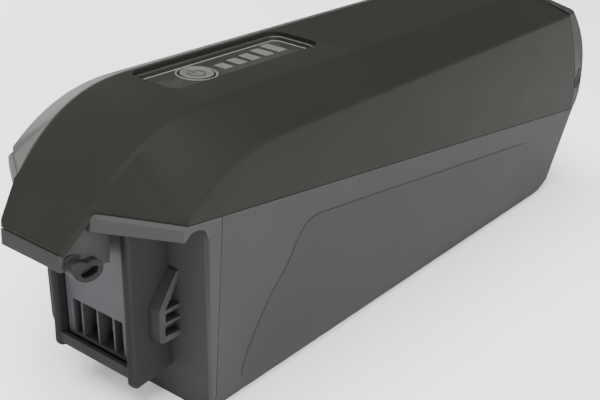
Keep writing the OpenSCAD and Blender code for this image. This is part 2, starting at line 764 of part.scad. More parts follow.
// outline of the hook pockets, drawn in from the hook outline
hook_pocket_outline = [for (p = hook_points)
  hook_mid + (p - hook_mid) * hook_inner_share + [hook_rim / 2, 0]];
module hook(y0, outer) {
  difference() {
    across(hook_points, y0, y0 + hook_t);
    intersection() {
      across(hook_pocket_outline, outer < 0 ? y0 - over : y0 + hook_t - hook_pocket,
        outer < 0 ? y0 + hook_pocket : y0 + hook_t + over);
      union() {
        for (z = hook_rows) block(0, wall_x, y0 - over, y0 + hook_t + over, z, z + hook_row_h);
      }
    }
  }
}
nose_back_x = 22.5;
nose_drop = 14.6;
nose_back_drop = 17.9;
nose_low_z = roof_z - nose_drop;
nose_back_z = roof_z - nose_back_drop;
nose_top_z = crease_z - beak_down - seam_gap * 2;
function nose_line(x) = beak_z - beak_down - seam_gap * 2 + (x - beak_in) * beak_fall / crease_x;
module nose_form(w) {
  intersection() {
    across([[nose_x + w, nose_low_z + w], [nose_x + w, nose_line(nose_x + w) - w * beak_length / crease_x],
      [crease_x + beak_in + w / 2, nose_top_z - w], [nose_back_x + w, nose_top_z - w],
      [nose_back_x + w, nose_back_z + w]], -half, half);
    linear_extrude(height = case_height)
      polygon([[0, -nose_front_half + w], [nose_back_x / 2, -nose_half + w], [case_width, -nose_half + w],
        [case_width, nose_half - w], [nose_back_x / 2, nose_half - w], [0, nose_front_half - w]]);
  }
}
lug_z = roof_z - lug_drop;
lug_out = nose_half + lug_reach;
lug_slot_x = lug_front_x + lug_slot / 3;
lug_flat_share = 0.98;
lug_dent_share = 0.75;
module eye_lug() {
  difference() {
    union() {
      for (x = [lug_front_x, lug_back_x]) crosswise(x, lug_z, -lug_out, -nose_half + nose_t, lug_r);
      block(lug_front_x, lug_back_x, -lug_out, -nose_half + nose_t,
        lug_z - lug_r * lug_flat_share, lug_z + lug_r * lug_dent_share);
    }
    for (x = [lug_slot_x, lug_back_x]) crosswise(x, lug_z, -lug_out - over, -nose_half - over, lug_slot / 2);
    block(lug_slot_x, lug_back_x, -lug_out - over, -nose_half - over,
      lug_z - lug_slot / 2, lug_z + lug_slot / 2);
  }
}
module end_cap() {
  color([0.45, 0.45, 0.46]) difference() {
    union() {
      end_wall();
      end_roof();
      for (s = [-1, 1]) niche_arch(s);
      intersection() {
        difference() {
          nose_form(0);
          nose_form(nose_t);
        }
        under_split(-seam_gap / 2);
      }
      eye_lug();
      side_plate(block_lo);
      side_plate(block_hi - block_t);
      block_profile(block_lo + over, block_hi - over, bar_z, bar_top_z, seam_gap);
      hook(block_lo - hook_t, -1);
      hook(block_hi, 1);
      for (p = floor_screws_at) block(lean_wall(0) + over, p[0] + post_r, p[1] - post_r, p[1] + post_r,
        floor_boss_z, floor_pad_z + screw_length);
    }
    for (p = roof_screws_at) upright(p[0], p[1], fascia_z, case_height, screw_r + fit_gap);
    for (p = floor_screws_at) upright(p[0], p[1], floor_pad_z, floor_boss_z + insert_hole, insert_r);
    for (p = socket_screws_at)
      lengthwise(p[0], p[1], lean_wall(p[1]) - over, wall_x + flange_w, small_screw_r + fit_gap);
    block(lean_wall(roof_z), wall_x + flange_w, neck_lo - fit_gap * 2, neck_hi + fit_gap * 2,
      neck_z - fit_gap * 2, neck_top_z + fit_gap * 2);
  }
}

// socket: positions of the four slots across the width
slot_widths = [slot_narrow, slot_wide, slot_wide, slot_narrow];
slots_total = slot_narrow * 2 + slot_wide * 2 + slot_rib * 3;
slots_shift = 0.5;
slots_y = block_y + slots_shift;
slots_lo = slots_y - slots_total / 2;
slots_hi = slots_y + slots_total / 2;
slot_starts = [slots_lo, slots_lo + slot_narrow + slot_rib, slots_y + slot_rib / 2, slots_hi - slot_narrow];
neck_side = 0.8;
neck_lo = slots_lo - neck_side;
neck_hi = slots_hi + neck_side;
neck_z = 28;
neck_top_z = 36;
tail_z = 31;
tail_t = 1.5;
socket_top_z = roof_z - seam_gap;
socket_body_z = 52;
socket_screw_side = 12;
socket_screw_z = 46;
socket_screws_at = [for (s = [-1, 1]) [block_y + s * socket_screw_side, socket_screw_z]];
socket_lo = block_y - socket_half;
socket_hi = block_y + socket_half;
function socket_face(z) = lean_block(z) + socket_recess;
module socket_housing() {
  color([0.1, 0.1, 0.1]) difference() {
    union() {
      across([[socket_face(socket_z), socket_z], [socket_face(socket_z) + socket_plate_t, socket_z],
        [socket_face(socket_top_z) + socket_plate_t, socket_top_z],
        [socket_face(socket_top_z), socket_top_z]],
        socket_lo, socket_hi);
      across([[socket_face(socket_z) + over, socket_z], [lean_wall(socket_z) - gasket_t, socket_z],
        [lean_wall(socket_body_z) - gasket_t, socket_body_z],
        [socket_face(socket_body_z) + over, socket_body_z]],
        socket_lo + over, socket_hi - over);
      block(slot_end_x, end_seam_x, neck_lo, neck_hi, neck_z, neck_top_z);
    }
    for (i = [0:3]) {
      block(block_x, slot_end_x, slot_starts[i], slot_starts[i] + slot_widths[i], slot_z, slot_z + slot_h);
      block(slot_end_x - over, tail_end_x, tail_lo(i), tail_lo(i) + tail_w(i), tail_z, tail_z + tail_t);
    }
    for (p = socket_screws_at)
      lengthwise(p[0], p[1], lean_wall(p[1]) - gasket_t - screw_length / 2, wall_x, small_screw_r);
  }
}
function tail_w(i) = slot_widths[i] - slot_rib;
function tail_lo(i) = slot_starts[i] + slot_rib / 2;
contact_x = 33.5;
leaf_share = 0.13;
module contact(i) {
  w = slot_widths[i];
  y = slot_starts[i];
  leaf = w * leaf_share;
  block(contact_x, slot_end_x, y + leaf, y + leaf * 2, slot_z + over, slot_z + slot_h - over);
  block(contact_x, slot_end_x, y + w - leaf * 2, y + w - leaf, slot_z + over, slot_z + slot_h - over);
  block(slot_end_x - over, slot_end_x, y + leaf, y + w - leaf, slot_z + over, slot_z + slot_h - over);
  block(slot_end_x - over, tail_end_x, tail_lo(i), tail_lo(i) + tail_w(i), tail_z, tail_z + tail_t);
}
module power_contacts() {
  color([0.8, 0.65, 0.3]) for (i = [1, 2]) contact(i);
}
module signal_contacts() {
  color([0.8, 0.65, 0.3]) for (i = [0, 3]) contact(i);
}
gasket_top_gap = 3;
module socket_gasket() {
  color([0.08, 0.08, 0.08]) intersection() {
    difference() {
      block(slot_end_x - gasket_t, wall_x, socket_lo + wall, socket_hi - wall,
        slot_z, neck_top_z + gasket_top_gap);
      block(slot_end_x - wall, wall_x + over, neck_lo - fit_gap, neck_hi + fit_gap,
        neck_z - fit_gap, neck_top_z + fit_gap);
    }
    across([[lean_wall(slot_z) - gasket_t, slot_z], [lean_wall(slot_z), slot_z], [lean_wall(roof_z), roof_z],
      [lean_wall(roof_z) - gasket_t, roof_z]], -half, half);
  }
}
socket_screw_length = 8.4;
module socket_screws() {
  color([0.7, 0.7, 0.72]) for (p = socket_screws_at) {
    x = lean_wall(p[1]) + end_wall_t + seam_gap / 2;
    lengthwise(p[0], p[1], x, x + small_head_t, small_head_r);
    lengthwise(p[0], p[1], x - socket_screw_length, x, small_screw_r);
  }
}

// rear cap with its tongues, tabs and port seat
hinge_y = -half - flap_proud + knuckle_r;
hinge_z = port_z + hinge_rise;
port_seat_y = -half - flap_proud + flap_t + run_gap;
port_step = 0.8;
port_pad = 2.5;
port_front_gap = 3;
tongue_foot_gap = 2;
tongue_top_gap = 20.4;
tongue_low = seam_z + tongue_foot_gap;
tongue_high = case_height - tongue_top_gap;
tongue_zs = [for (t = tongue_step_shares) tongue_low + (tongue_high - tongue_low) * t];
tongue_outline = concat([for (z = tongue_zs) [seam(z) - tongue_reach, z]],
  [for (i = [len(tongue_zs) - 1:-1:0]) [seam(tongue_zs[i]) + tongue_reach + over, tongue_zs[i]]]);
tongue_half = half - wall - fit_gap;
rear_outline = concat([[seam_x + seam_gap / 2, split(seam_x) + seam_gap / 2]], seam_points(seam_gap),
  [[case_length + over, case_height + over], [case_length + over, split(case_length + over) + seam_gap / 2]]);
module rear_cap() {
  color([0.5, 0.51, 0.53]) difference() {
    union() {
      intersection() {
        difference() {
          rear_form(0);
          intersection() {
            rear_form(wall);
            along(upper_section(wall), 0, case_length + over);
          }
        }
        along(upper_section(0), seam_x - case_width, case_length + over);
        across(rear_outline, -half, half);
      }
      across(tongue_outline, -tongue_half, -tongue_half + tongue_t);
      across(tongue_outline, tongue_half - tongue_t, tongue_half);
      for (s = [-1, 1], z = [tongue_low + tongue_t * 1.5, tongue_high - tongue_reach])
        side_block(s, seam(z - tongue_t) + seam_gap * 2, seam(z) + tongue_reach,
          half - wall - over, half - over, z - tongue_t, z + tongue_t);
      intersection() {
        for (p = cap_screws_at) block(p[0] - post_r, case_length, p[1] - post_r, p[1] + post_r,
          cap_tab_z, cap_tab_z + insert_length + over);
        rear_form(over);
      }
      port_seat();
    }
    crosswise(port_x, port_z, -half - over, port_seat_y, flap_r + run_gap);
    crosswise(port_x, port_z, -half - over, 0, port_bore_r + fit_gap);
    crosswise(port_x, port_z, port_seat_y + port_step, 0, port_body_r + fit_gap);
    block(port_x - knuckle_w / 2 - run_gap, port_x + knuckle_w / 2 + run_gap, -half - over,
      hinge_y + knuckle_r + run_gap, port_z, hinge_z + knuckle_r + run_gap);
    lengthwise(hinge_y, hinge_z, port_x - knuckle_w, port_x + knuckle_w, hinge_pin_r + fit_gap / 3);
    for (p = cap_screws_at) upright(p[0], p[1], cap_tab_z - over, cap_tab_z + insert_length, insert_r);
  }
}
// thick wall that carries the charge socket and the flap hinge
module port_seat() {
  intersection() {
    union() {
      crosswise(port_x, port_z, -half + over, port_seat_y + wall * 2, port_body_r + over);
      block(port_x - knuckle_w, port_x + knuckle_w, -half + over, -half + wall + port_pad,
        port_z, hinge_z + knuckle_r * 2 + over);
    }
    block(seam(port_z) + over, case_length - port_front_gap, -half + over / 2, half, 0, case_height);
  }
}

charge_pin_r = 1;
spring_t = 0.5;
spring_w = 2;
pin_set = 4;
pin_tail = 2;
contact_from_y = port_seat_y + port_length / 2;
pin_end_y = port_seat_y + port_length + pin_tail;
contact_x_mid = port_x - port_bore_r;
module charge_socket() {
  color([0.08, 0.08, 0.08]) difference() {
    crosswise(port_x, port_z, port_seat_y + port_step + fit_gap, port_seat_y + port_length, port_body_r);
    crosswise(port_x, port_z, -half, port_seat_y + port_length - wall, port_bore_r);
    crosswise(port_x, port_z, -half, half, charge_pin_r);
    block(contact_x_mid - spring_t / 2, contact_x_mid + over, contact_from_y, pin_end_y,
      port_z - spring_w / 2, port_z + spring_w / 2);
  }
}
module charge_pin() {
  color([0.8, 0.65, 0.3]) crosswise(port_x, port_z, port_seat_y + pin_set, pin_end_y, charge_pin_r);
}
module charge_contact() {
  color([0.8, 0.65, 0.3]) block(contact_x_mid - spring_t / 2, contact_x_mid + spring_t / 2,
    contact_from_y, pin_end_y, port_z - spring_w / 2, port_z + spring_w / 2);
}
plug_reach = 2;
flap_arm_share = 0.8;
module charge_port_flap() {
  color([0.06, 0.06, 0.06]) difference() {
    union() {
      crosswise(port_x, port_z, -half - flap_proud, -half - flap_proud + flap_t, flap_r);
      crosswise(port_x, port_z, -half, port_seat_y + plug_reach, port_bore_r - run_gap);
      block(port_x - knuckle_w / 2, port_x + knuckle_w / 2, -half - flap_proud,
        -half - flap_proud + flap_t * flap_arm_share, port_z, hinge_z);
      lengthwise(hinge_y, hinge_z, port_x - knuckle_w / 2, port_x + knuckle_w / 2, knuckle_r);
    }
    lengthwise(hinge_y, hinge_z, port_x - knuckle_w, port_x + knuckle_w, hinge_pin_r + run_gap);
  }
}
module flap_hinge_pin() {
  color([0.7, 0.7, 0.72]) lengthwise(hinge_y, hinge_z, port_x - knuckle_w, port_x + knuckle_w, hinge_pin_r);
}

// display
module panel_plate(inset) {
  rounded_plate(pocket_x + inset, pocket_end_x - inset,
    pocket_y + inset, pocket_far_y - inset, pocket_r - inset);
}
module display_panel() {
  color([0.05, 0.05, 0.05]) difference() {
    translate([0, 0, panel_seat_z]) linear_extrude(height = panel_t) panel_plate(fit_gap);
    upright(button_x, button_y, panel_seat_z - over, case_height, ring_r + fit_gap);
    for (b = bar_table) block(b[0] - fit_gap, b[0] + b[1] + fit_gap, bar_y - fit_gap, b[2] + fit_gap,
      panel_seat_z - over, case_height);
  }
}
module display_bezel() {
  color([0.2, 0.2, 0.19]) translate([0, 0, panel_seat_z + panel_t])
    linear_extrude(height = bezel_z - panel_seat_z - panel_t) difference() {
      panel_plate(fit_gap);
      panel_plate(bezel_t);
    }
}
module button_ring() {
  color([0.6, 0.62, 0.6]) difference() {
    upright(button_x, button_y, panel_seat_z, panel_seat_z + panel_t + ring_proud, ring_r);
    upright(button_x, button_y, panel_seat_z - over, case_height, button_r + run_gap);
  }
}
ring_proud = 0.4;
button_z = panel_seat_z + button_travel + seam_gap;
flange_z = panel_seat_z - tub_t - run_gap;
flange_t = 0.8;
flange_r = 3.2;
module power_button() {
  color([0.15, 0.15, 0.15]) union() {
    upright(button_x, button_y, button_z, button_z + button_t, button_r);
    upright(button_x, button_y, flange_z - over / 2, button_z + over / 2, stem_r);
    upright(button_x, button_y, flange_z - flange_t, flange_z, flange_r);
  }
}
switch_h = 2.6;
switch_w = 6;
plunger_r = 1.3;
plunger_low = board_z + button_travel + over;
module switch_plunger() {
  color([0.85, 0.85, 0.85]) upright(button_x, button_y, plunger_low, flange_z - flange_t, plunger_r);
}
module tact_switch() {
  color([0.2, 0.2, 0.2]) difference() {
    block(button_x - switch_w / 2, button_x + switch_w / 2, button_y - switch_w / 2, button_y + switch_w / 2,
      board_z, board_z + switch_h);
    upright(button_x, button_y, board_z + over / 2, board_z + switch_h + over, plunger_r + run_gap);
  }
}
module light_bars() {
  color([0.6, 0.62, 0.6]) for (b = bar_table) {
    block(b[0], b[0] + b[1], bar_y, b[2], panel_seat_z, panel_seat_z + panel_t);
    upright(b[0] + b[1] / 2, pipe_y, board_z + led_h + seam_gap, panel_seat_z + over, pipe_r);
  }
}
led_h = 0.8;
led_w = 1.6;
module state_leds() {
  color([0.9, 0.9, 0.8]) for (b = bar_table) block(b[0] + b[1] / 2 - led_w, b[0] + b[1] / 2 + led_w,
    pipe_y - led_w / 2, pipe_y + led_w / 2, board_z, board_z + led_h);
}
display_board_x = 85.5;
display_board_end = 158;
display_board_y = -4.5;
display_board_far = 20.5;
module display_board() {
  color([0.1, 0.35, 0.15]) difference() {
    block(display_board_x, display_board_end, display_board_y, display_board_far, board_z - board_t, board_z);
    for (p = display_screws_at) upright(p[0], p[1], board_z - board_t - over, board_z + over,
      small_screw_r + fit_gap);
  }
}
module small_screw_up(x, y, z, length) {
  upright(x, y, z - small_head_t, z, small_head_r);
  upright(x, y, z, z + length, small_screw_r);
}
module display_screws() {
  color([0.7, 0.7, 0.72]) for (p = display_screws_at)
    small_screw_up(p[0], p[1], board_z - board_t, board_t + flex_rise);
}
flex_rise = 3.4;
flex_t = 0.3;
flex_y = 4;
flex_w = 9;
flex_x = 162.5;
module display_cable() {
  color([0.85, 0.85, 0.8]) union() {
    block(display_board_end - wall, flex_x, flex_y, flex_y + flex_w, board_z, board_z + flex_t);
    block(flex_x - flex_t, flex_x, flex_y, flex_y + flex_w, board_z, bms_z + flex_t);
    block(flex_x - flex_t, bms_x + wall, flex_y, flex_y + flex_w, bms_z, bms_z + flex_t);
  }
}

// cells with their holders and strips
module cells() {
  color([0.15, 0.4, 0.6]) for (c = [0:cell_columns - 1], r = [0:cell_rows - 1])
    crosswise(col_x(c), row_z(r), -cell_half, cell_half, cell_r);
}
tie_r = 1.5;
tie_head_r = 2.4;
tie_head_t = 1.4;
tie_seat = tie_head_t + fit_gap;
function tie_x(p) = col_x(p[0]) + pitch_x / 2;
function tie_z(p) = row_z(p[1]) + pitch_z / 2;
module holder(s) {
  y0 = s < 0 ? -cell_half : cell_half - holder_t;
  difference() {
    union() {
      block(cell_x - holder_edge, col_x(cell_columns - 1) + holder_edge, y0, y0 + holder_t,
        cell_z - holder_edge, holder_top);
      for (p = bms_screws_at) if (p[1] * s > 0)
        upright(p[0], p[1], holder_top - over, bms_z - board_t, small_head_r + over / 2);
    }
    for (c = [0:cell_columns - 1], r = [0:cell_rows - 1])
      crosswise(col_x(c), row_z(r), -half, half, cell_r + fit_gap);
    for (p = tie_bolt_shares) {
      crosswise(tie_x(p), tie_z(p), -half, half, tie_r + fit_gap);
      crosswise(tie_x(p), tie_z(p),
        s < 0 ? -half : cell_half - tie_seat, s < 0 ? -cell_half + tie_seat : half,
        tie_head_r + fit_gap);
    }
    for (p = bms_screws_at) upright(p[0], p[1], bms_z - bms_screw_length - over, case_height, small_screw_r);
  }
}
module left_cell_holder() {
  color([0.2, 0.2, 0.2]) holder(-1);
}
module right_cell_holder() {
  color([0.2, 0.2, 0.2]) holder(1);
}
module tie_bolts() {
  color([0.7, 0.7, 0.72]) for (p = tie_bolt_shares) {
    crosswise(tie_x(p), tie_z(p), -cell_half + fit_gap, -cell_half + tie_seat, tie_head_r);
    crosswise(tie_x(p), tie_z(p), -cell_half + fit_gap, cell_half - fit_gap * 2, tie_r);
  }
}
module tie_nuts() {
  color([0.7, 0.7, 0.72]) for (p = tie_bolt_shares) difference() {
    crosswise(tie_x(p), tie_z(p), cell_half - tie_seat, cell_half - fit_gap, tie_head_r);
    crosswise(tie_x(p), tie_z(p), 0, half, tie_r);
  }
}
strip_w = 12;
strip_edge = 4;
left_start_shares = [0, 2, 4, 6, 8, 10, 12];
right_start_shares = [-1, 1, 3, 5, 7, 9, 11];
module strips(s, starts) {
  for (c = starts) {
    x1 = c < 0 ? col_x(0) : col_x(min(c + 1, cell_columns - 1));
    side_block(s, col_x(max(0, c)) - strip_w / 2, x1 + strip_w / 2, cell_half, cell_half + nickel_t,
      row_z(0) - strip_edge, row_z(cell_rows - 1) + strip_edge);
  }
}
module left_nickel_strips() {
  color([0.75, 0.75, 0.75]) strips(-1, left_start_shares);
}
module right_nickel_strips() {
  color([0.75, 0.75, 0.75]) strips(1, right_start_shares);
}
tap_drop = 4.6;
sheet_rise = 0.4;
tap_z = row_z(cell_rows - 1) - tap_drop;
sheet_top = row_z(cell_rows - 1) + sheet_rise;
out_y = cell_half + nickel_t;
module sheet(s, tap_x) {
  difference() {
    side_block(s, cell_x - strip_w / 2 - wall, col_x(cell_columns - 1) + strip_w / 2 + wall,
      out_y, out_y + sheet_t, cell_z - strip_edge * 2, sheet_top);
    crosswise(tap_x, tap_z, -half, half, lead_r + run_gap);
  }
}
module left_insulator() {
  color([0.9, 0.85, 0.7]) sheet(-1, col_x(cell_columns - 1));
}
module right_insulator() {
  color([0.9, 0.85, 0.7]) sheet(1, col_x(0));
}
flex_film_t = 0.3;
tab_w = 4;
ribbon_in = 7.8;
ribbon_y = cell_half - ribbon_in;
ribbon_w = 2.2;
tail_x = bms_x + bms_step * 6;
tail_flex_w = 8;
function strip_mid(c) = c < 0 ? col_x(0)
  : c > cell_columns - 2 ? col_x(cell_columns - 1) : (col_x(c) + col_x(c + 1)) / 2;
module ribbon(s, starts) {
  top = holder_top + flex_film_t;
  side_block(s, strip_mid(starts[0]) - tab_w, strip_mid(starts[len(starts) - 1]) + tab_w / 2,
    ribbon_y, ribbon_y + ribbon_w, holder_top, top);
  for (c = starts) {
    x = strip_mid(c);
    side_block(s, x - tab_w / 2, x + tab_w / 2, ribbon_y, out_y + flex_film_t, holder_top, top);
    side_block(s, x - tab_w / 2, x + tab_w / 2, out_y, out_y + flex_film_t, sheet_top + over, top);
  }
  side_block(s, tail_x, tail_x + tail_flex_w, ribbon_y, ribbon_y + flex_film_t, holder_top, bms_z - board_t);
}
module sense_ribbons() {
  color([0.8, 0.5, 0.2]) {
    ribbon(-1, left_start_shares);
    ribbon(1, right_start_shares);
  }
}
module foam_pads() {
  color([0.3, 0.3, 0.3]) for (s = [-1, 1]) side_block(s, cell_x, col_x(cell_columns - 1),
    cell_half - holder_t, cell_half, wall, cell_z - holder_edge);
}

// management board
bms_screw_length = 6;
module bms_board() {
  color([0.1, 0.3, 0.15]) difference() {
    block(bms_x, bms_end_x, -bms_half, bms_half, bms_z - board_t, bms_z);
    for (p = bms_screws_at)
      upright(p[0], p[1], bms_z - board_t - over, bms_z + over, small_screw_r + fit_gap);
  }
}
module bms_screws() {
  color([0.7, 0.7, 0.72]) for (p = bms_screws_at) {
    upright(p[0], p[1], bms_z, bms_z + small_head_t, small_head_r);
    upright(p[0], p[1], bms_z - bms_screw_length, bms_z, small_screw_r);
  }
}
transistor_gap = 2;
transistor_y = -9;
transistor_d = 9;
transistor_t = 3;
sink_t = 1.3;
module bms_transistors() {
  color([0.1, 0.1, 0.1]) for (i = [2:8])
    block(bms_x + bms_step * i, bms_x + bms_step * (i + 1) - transistor_gap,
    transistor_y, transistor_y + transistor_d, bms_z, bms_z + transistor_t);
}
module bms_heat_sink() {
  color([0.75, 0.75, 0.77]) block(bms_x + bms_step * 2 - wall, bms_x + bms_step * 9 - transistor_gap + wall,
    transistor_y - wall, transistor_y + transistor_d + wall,
    bms_z + transistor_t, bms_z + transistor_t + sink_t);
}
capacitor_share = 0.29;
capacitor_y = 14;
capacitor_front_y = 8;
capacitor_h = 5;
capacitors_at = [for (i = [1:4]) [bms_x + bms_step * i, i < 2 ? capacitor_front_y : capacitor_y]];
module bms_capacitors() {
  color([0.2, 0.2, 0.5]) for (p = capacitors_at)
    upright(p[0], p[1], bms_z, bms_z + capacitor_h, bms_step * capacitor_share);
}
shunt_w = 3;
small_part_t = 1;
module bms_shunts() {
  color([0.6, 0.6, 0.6]) for (i = [5:7]) block(bms_x + bms_step * i, bms_x + bms_step * (i + 0.5),
    pipe_y, pipe_y + shunt_w, bms_z, bms_z + small_part_t);
}
chip_w = 7;
chip_left_in = 10;
chip_right_in = 6;
module bms_chips() {
  color([0.05, 0.05, 0.05]) {
    side_block(-1, bms_x + bms_step * 5, bms_x + bms_step * 6, bms_half - chip_left_in - chip_w,
      bms_half - chip_left_in, bms_z, bms_z + small_part_t);
    side_block(1, bms_x + bms_step * 8, bms_x + bms_step * 8.7, bms_half - chip_right_in - chip_w,
      bms_half - chip_right_in, bms_z, bms_z + small_part_t);
  }
}
thermistor_r = 1.4;
thermistor_rise = 4.7;
thermistor_x = col_x(7) + pitch_x / 2;
thermistor_z = row_z(cell_rows - 1) + thermistor_rise;
module thermistor() {
  color([0.1, 0.1, 0.1]) union() {
    crosswise(thermistor_x, thermistor_z, -strip_edge, strip_edge, thermistor_r);
    upright(thermistor_x, 0, thermistor_z, bms_z - board_t, thermistor_r / 2);
  }
}

// fuse in front of the cells
fuse_x = 55;
fuse_side = 27;
fuse_y = half - fuse_side;
fuse_w = 12;
fuse_z = 40;
fuse_top = 62;
fuse_t = 1.4;
fuse_cap = 6;
fuse_back = cell_x - holder_edge;
module fuse_holder() {
  color([0.1, 0.1, 0.1]) difference() {
    block(fuse_x, fuse_back, fuse_y, fuse_y + fuse_w, fuse_z, fuse_top);
    block(fuse_x + fuse_t, fuse_back - fuse_t, fuse_y + fuse_t, fuse_y + fuse_w - fuse_t,
      fuse_z + strip_edge, fuse_top + over);
  }
}
module fuse() {
  color([0.8, 0.5, 0.1]) {
    block(fuse_x + fuse_t + fit_gap, fuse_back - fuse_t - fit_gap, fuse_y + fuse_t + fit_gap,
      fuse_y + fuse_w - fuse_t - fit_gap, fuse_top - fuse_cap, fuse_top + strip_edge);
    for (y = [fuse_y + fuse_t * 1.5, fuse_y + fuse_w - fuse_t * 1.5 - wall])
      block(fuse_x + fuse_t * 2, fuse_x + fuse_t * 3, y, y + wall,
        fuse_z + strip_edge, fuse_top - strip_edge);
  }
}

// round leads: rings square to the route
function unit(v) = v / norm(v);
function heading(p, i) = i == 0 ? unit(p[1] - p[0]) : i == len(p) - 1 ? unit(p[i] - p[i - 1])
  : unit(unit(p[i] - p[i - 1]) + unit(p[i + 1] - p[i]));
function sideways(d, last) = unit(last - d * (last * d));
function frames(p, i, last) = let (s = sideways(heading(p, i), last))
  i == len(p) - 1 ? [s] : concat([s], frames(p, i + 1, s));
function lead_ring(c, d, s, r) = let (t = cross(d, s))
  [for (k = [0:lead_sides - 1]) c + r * (s * cos(k * 360 / lead_sides) + t * sin(k * 360 / lead_sides))];
module lead(p, r, first) {
  f = frames(p, 0, first);
  polyhedron(points = [for (i = [0:len(p) - 1]) each lead_ring(p[i], heading(p, i), f[i], r)],
    faces = ring_faces(len(p), lead_sides));
}
// points of a route: shares of the way between two ends, or steps from one
function way(from, to, shares) = [for (s = shares) from + (to - from) * s];
function steps(from, gaps) = [for (g = gaps) from + g];
function route(xs, ys, zs) = [for (i = [0:len(xs) - 1]) [xs[i], ys[i], zs[i]]];
lead_room = 8;
lead_y = half - lead_room;
tail_top = tail_z + tail_t;
solder_x = bms_x + 7;
solder_y = lead_y - 18;
function contact_y(i) = slot_starts[i] + slot_widths[i] / 2;
// red lead from the rear column to the fuse
fuse_entry_z = fuse_top - 7;
positive_start_steps = [0, 0, -1.4, -4.4];
positive_front_xs = [80, 72, 68, 65, 61.7, 60.4, 60.6, 60.8, 60.8, 60.8, 60.5, 59.8, 59.5, 59.5];
positive_side_steps = [2, 0.6, 0, 0, 0, 0.4, 1.2, 3.5, 7, 11, 17];
positive_mid_ys = [-12, 0];
positive_fuse_steps = [-11, -6, -3, 0];
positive_fall_shares = [1, 1, 1, 1, 1, 0.994, 0.987, 0.974, 0.942, 0.897,
  0.839, 0.742, 0.613, 0.452, 0.226, 0.065, 0, 0];
positive_route = route(concat(steps(col_x(cell_columns - 1), positive_start_steps), positive_front_xs),
  concat([-out_y], steps(-lead_y, positive_side_steps), positive_mid_ys, steps(fuse_y, positive_fuse_steps)),
  way(fuse_entry_z, tap_z, positive_fall_shares));
fused_xs = [58.5, 58.5, 57.5, 56, 55.2, 55, 55];
fused_y_shares = [1, 0.7855, 0.464, 0.1957, 0.0617, 0, 0];
fused_zs = [45, 45, 44.4, 43, 40.5, 37];
fused_route = route(fused_xs, way(contact_y(2), fuse_y, fused_y_shares), concat(fused_zs, [tail_top]));
// black lead from the board down to the contacts
pack_side = -16;
pack_start_steps = [0, 0, -1, -3.5, -7, -9.4, -11.6, -15, -25];
pack_front_xs = [90, 70, 64, 60, 57.5, 56, 55.6, 55.4, 55.2, 55, 55, 55];
pack_y_shares = [1, 1, 0.9, 0.75, 0.55, 0.4, 0.25, 0, 0, 0, 0, 0];
pack_down_y_shares = [0.948, 0.895, 0.869, 0.739, 0.608, 0.412, 0.15, 0, 0];
pack_top_steps = [0, 2.3, 3.9, 4.3, 3.3, 0.5, -1.9, -3.1, -3.5, -3.5, -3.7, -5.1];
pack_down_shares = [0.89, 0.8356, 0.754, 0.591, 0.428, 0.265, 0.1427, 0.061, 0];
pack_route = route(concat(steps(solder_x, pack_start_steps), pack_front_xs),
  concat(way(pack_side, -solder_y, pack_y_shares), way(contact_y(1), pack_side, pack_down_y_shares)),
  concat(steps(bms_z, pack_top_steps), way(tail_top, bms_z, pack_down_shares)));
// black lead from the front column up to the board
negative_start_steps = [0, 0, 1.4, 4];
negative_board_steps = [-35, -25, -19, -15, -12, -10, -8, -5.5, -2.5, -0.4, 0, 0];
negative_side_steps = [-2, -0.6, 0, 0, 0, -0.2, -1, -2, -3.5, -6, -9.5, -14, -17, -18, -18];
negative_rise_shares = [0, 0, 0, 0, 0, 0.05, 0.249, 0.4975, 0.7214, 0.9204];
negative_top_steps = [1.5, 3.5, 4.5, 4.1, 2.3, 0];
negative_route = route(concat(steps(col_x(0), negative_start_steps), steps(solder_x, negative_board_steps)),
  concat([out_y], steps(lead_y, negative_side_steps)),
  concat(way(tap_z, bms_z, negative_rise_shares), steps(bms_z, negative_top_steps)));
// charge wires from the port up to the rear of the board
wire_back = 8;
wire_x = bms_end_x - wire_back;
wire_top_steps = [3.5, 3.9, 3.1, 1.7, 0];
plus_port_steps = [0, 0, -1.4, -5.4, -12.4, -20.4, -30.4, -40.4];
plus_board_steps = [20, 11, 4, 0.6, 0, 0];
plus_y_steps = [0, 2.35, 5.85, 9.35, 12.35, 15.35, 17.35, 19.35, 20.35, 21.35, 21.35, 21.35, 21.35, 21.35];
plus_rise_shares = [0, 0, 0.046, 0.139, 0.325, 0.51, 0.719, 0.893, 1.009];
charge_plus_route = route(concat(steps(port_x, plus_port_steps), steps(wire_x, plus_board_steps)),
  steps(pin_end_y, plus_y_steps), concat(way(port_z, bms_z, plus_rise_shares), steps(bms_z, wire_top_steps)));
minus_port_steps = [0, 0, -2.6, -7.1, -14.6, -23.1, -32.1, -41.1];
minus_board_steps = [17, 9, 4, 0.6, 0, 0];
minus_y_steps = [0, 2, 4, 6, 8, 10, 11.35, 12.35, 13.35, 13.35, 13.35, 13.35, 13.35, 13.35];
minus_rise_shares = [0, 0, 0.046, 0.139, 0.325, 0.51, 0.696, 0.87, 1.009];
charge_minus_route = route(concat(steps(contact_x_mid, minus_port_steps), steps(wire_x, minus_board_steps)),
  steps(pin_end_y, minus_y_steps),
  concat(way(port_z, bms_z, minus_rise_shares), steps(bms_z, wire_top_steps)));
module positive_lead() {
  color([0.7, 0.1, 0.1]) lead(positive_route, lead_r, [0, 0, 1]);
}
module fused_lead() {
  color([0.7, 0.1, 0.1]) lead(fused_route, lead_r, [1, 0, 0]);
}
module pack_lead() {
  color([0.05, 0.05, 0.05]) lead(pack_route, lead_r, [0, 1, 0]);
}
module negative_lead() {
  color([0.05, 0.05, 0.05]) lead(negative_route, lead_r, [0, 0, 1]);
}
module charge_wires() {
  color([0.4, 0.1, 0.1]) {
    lead(charge_plus_route, thin_lead_r, [0, 0, 1]);
    lead(charge_minus_route, thin_lead_r, [0, 0, 1]);
  }
}

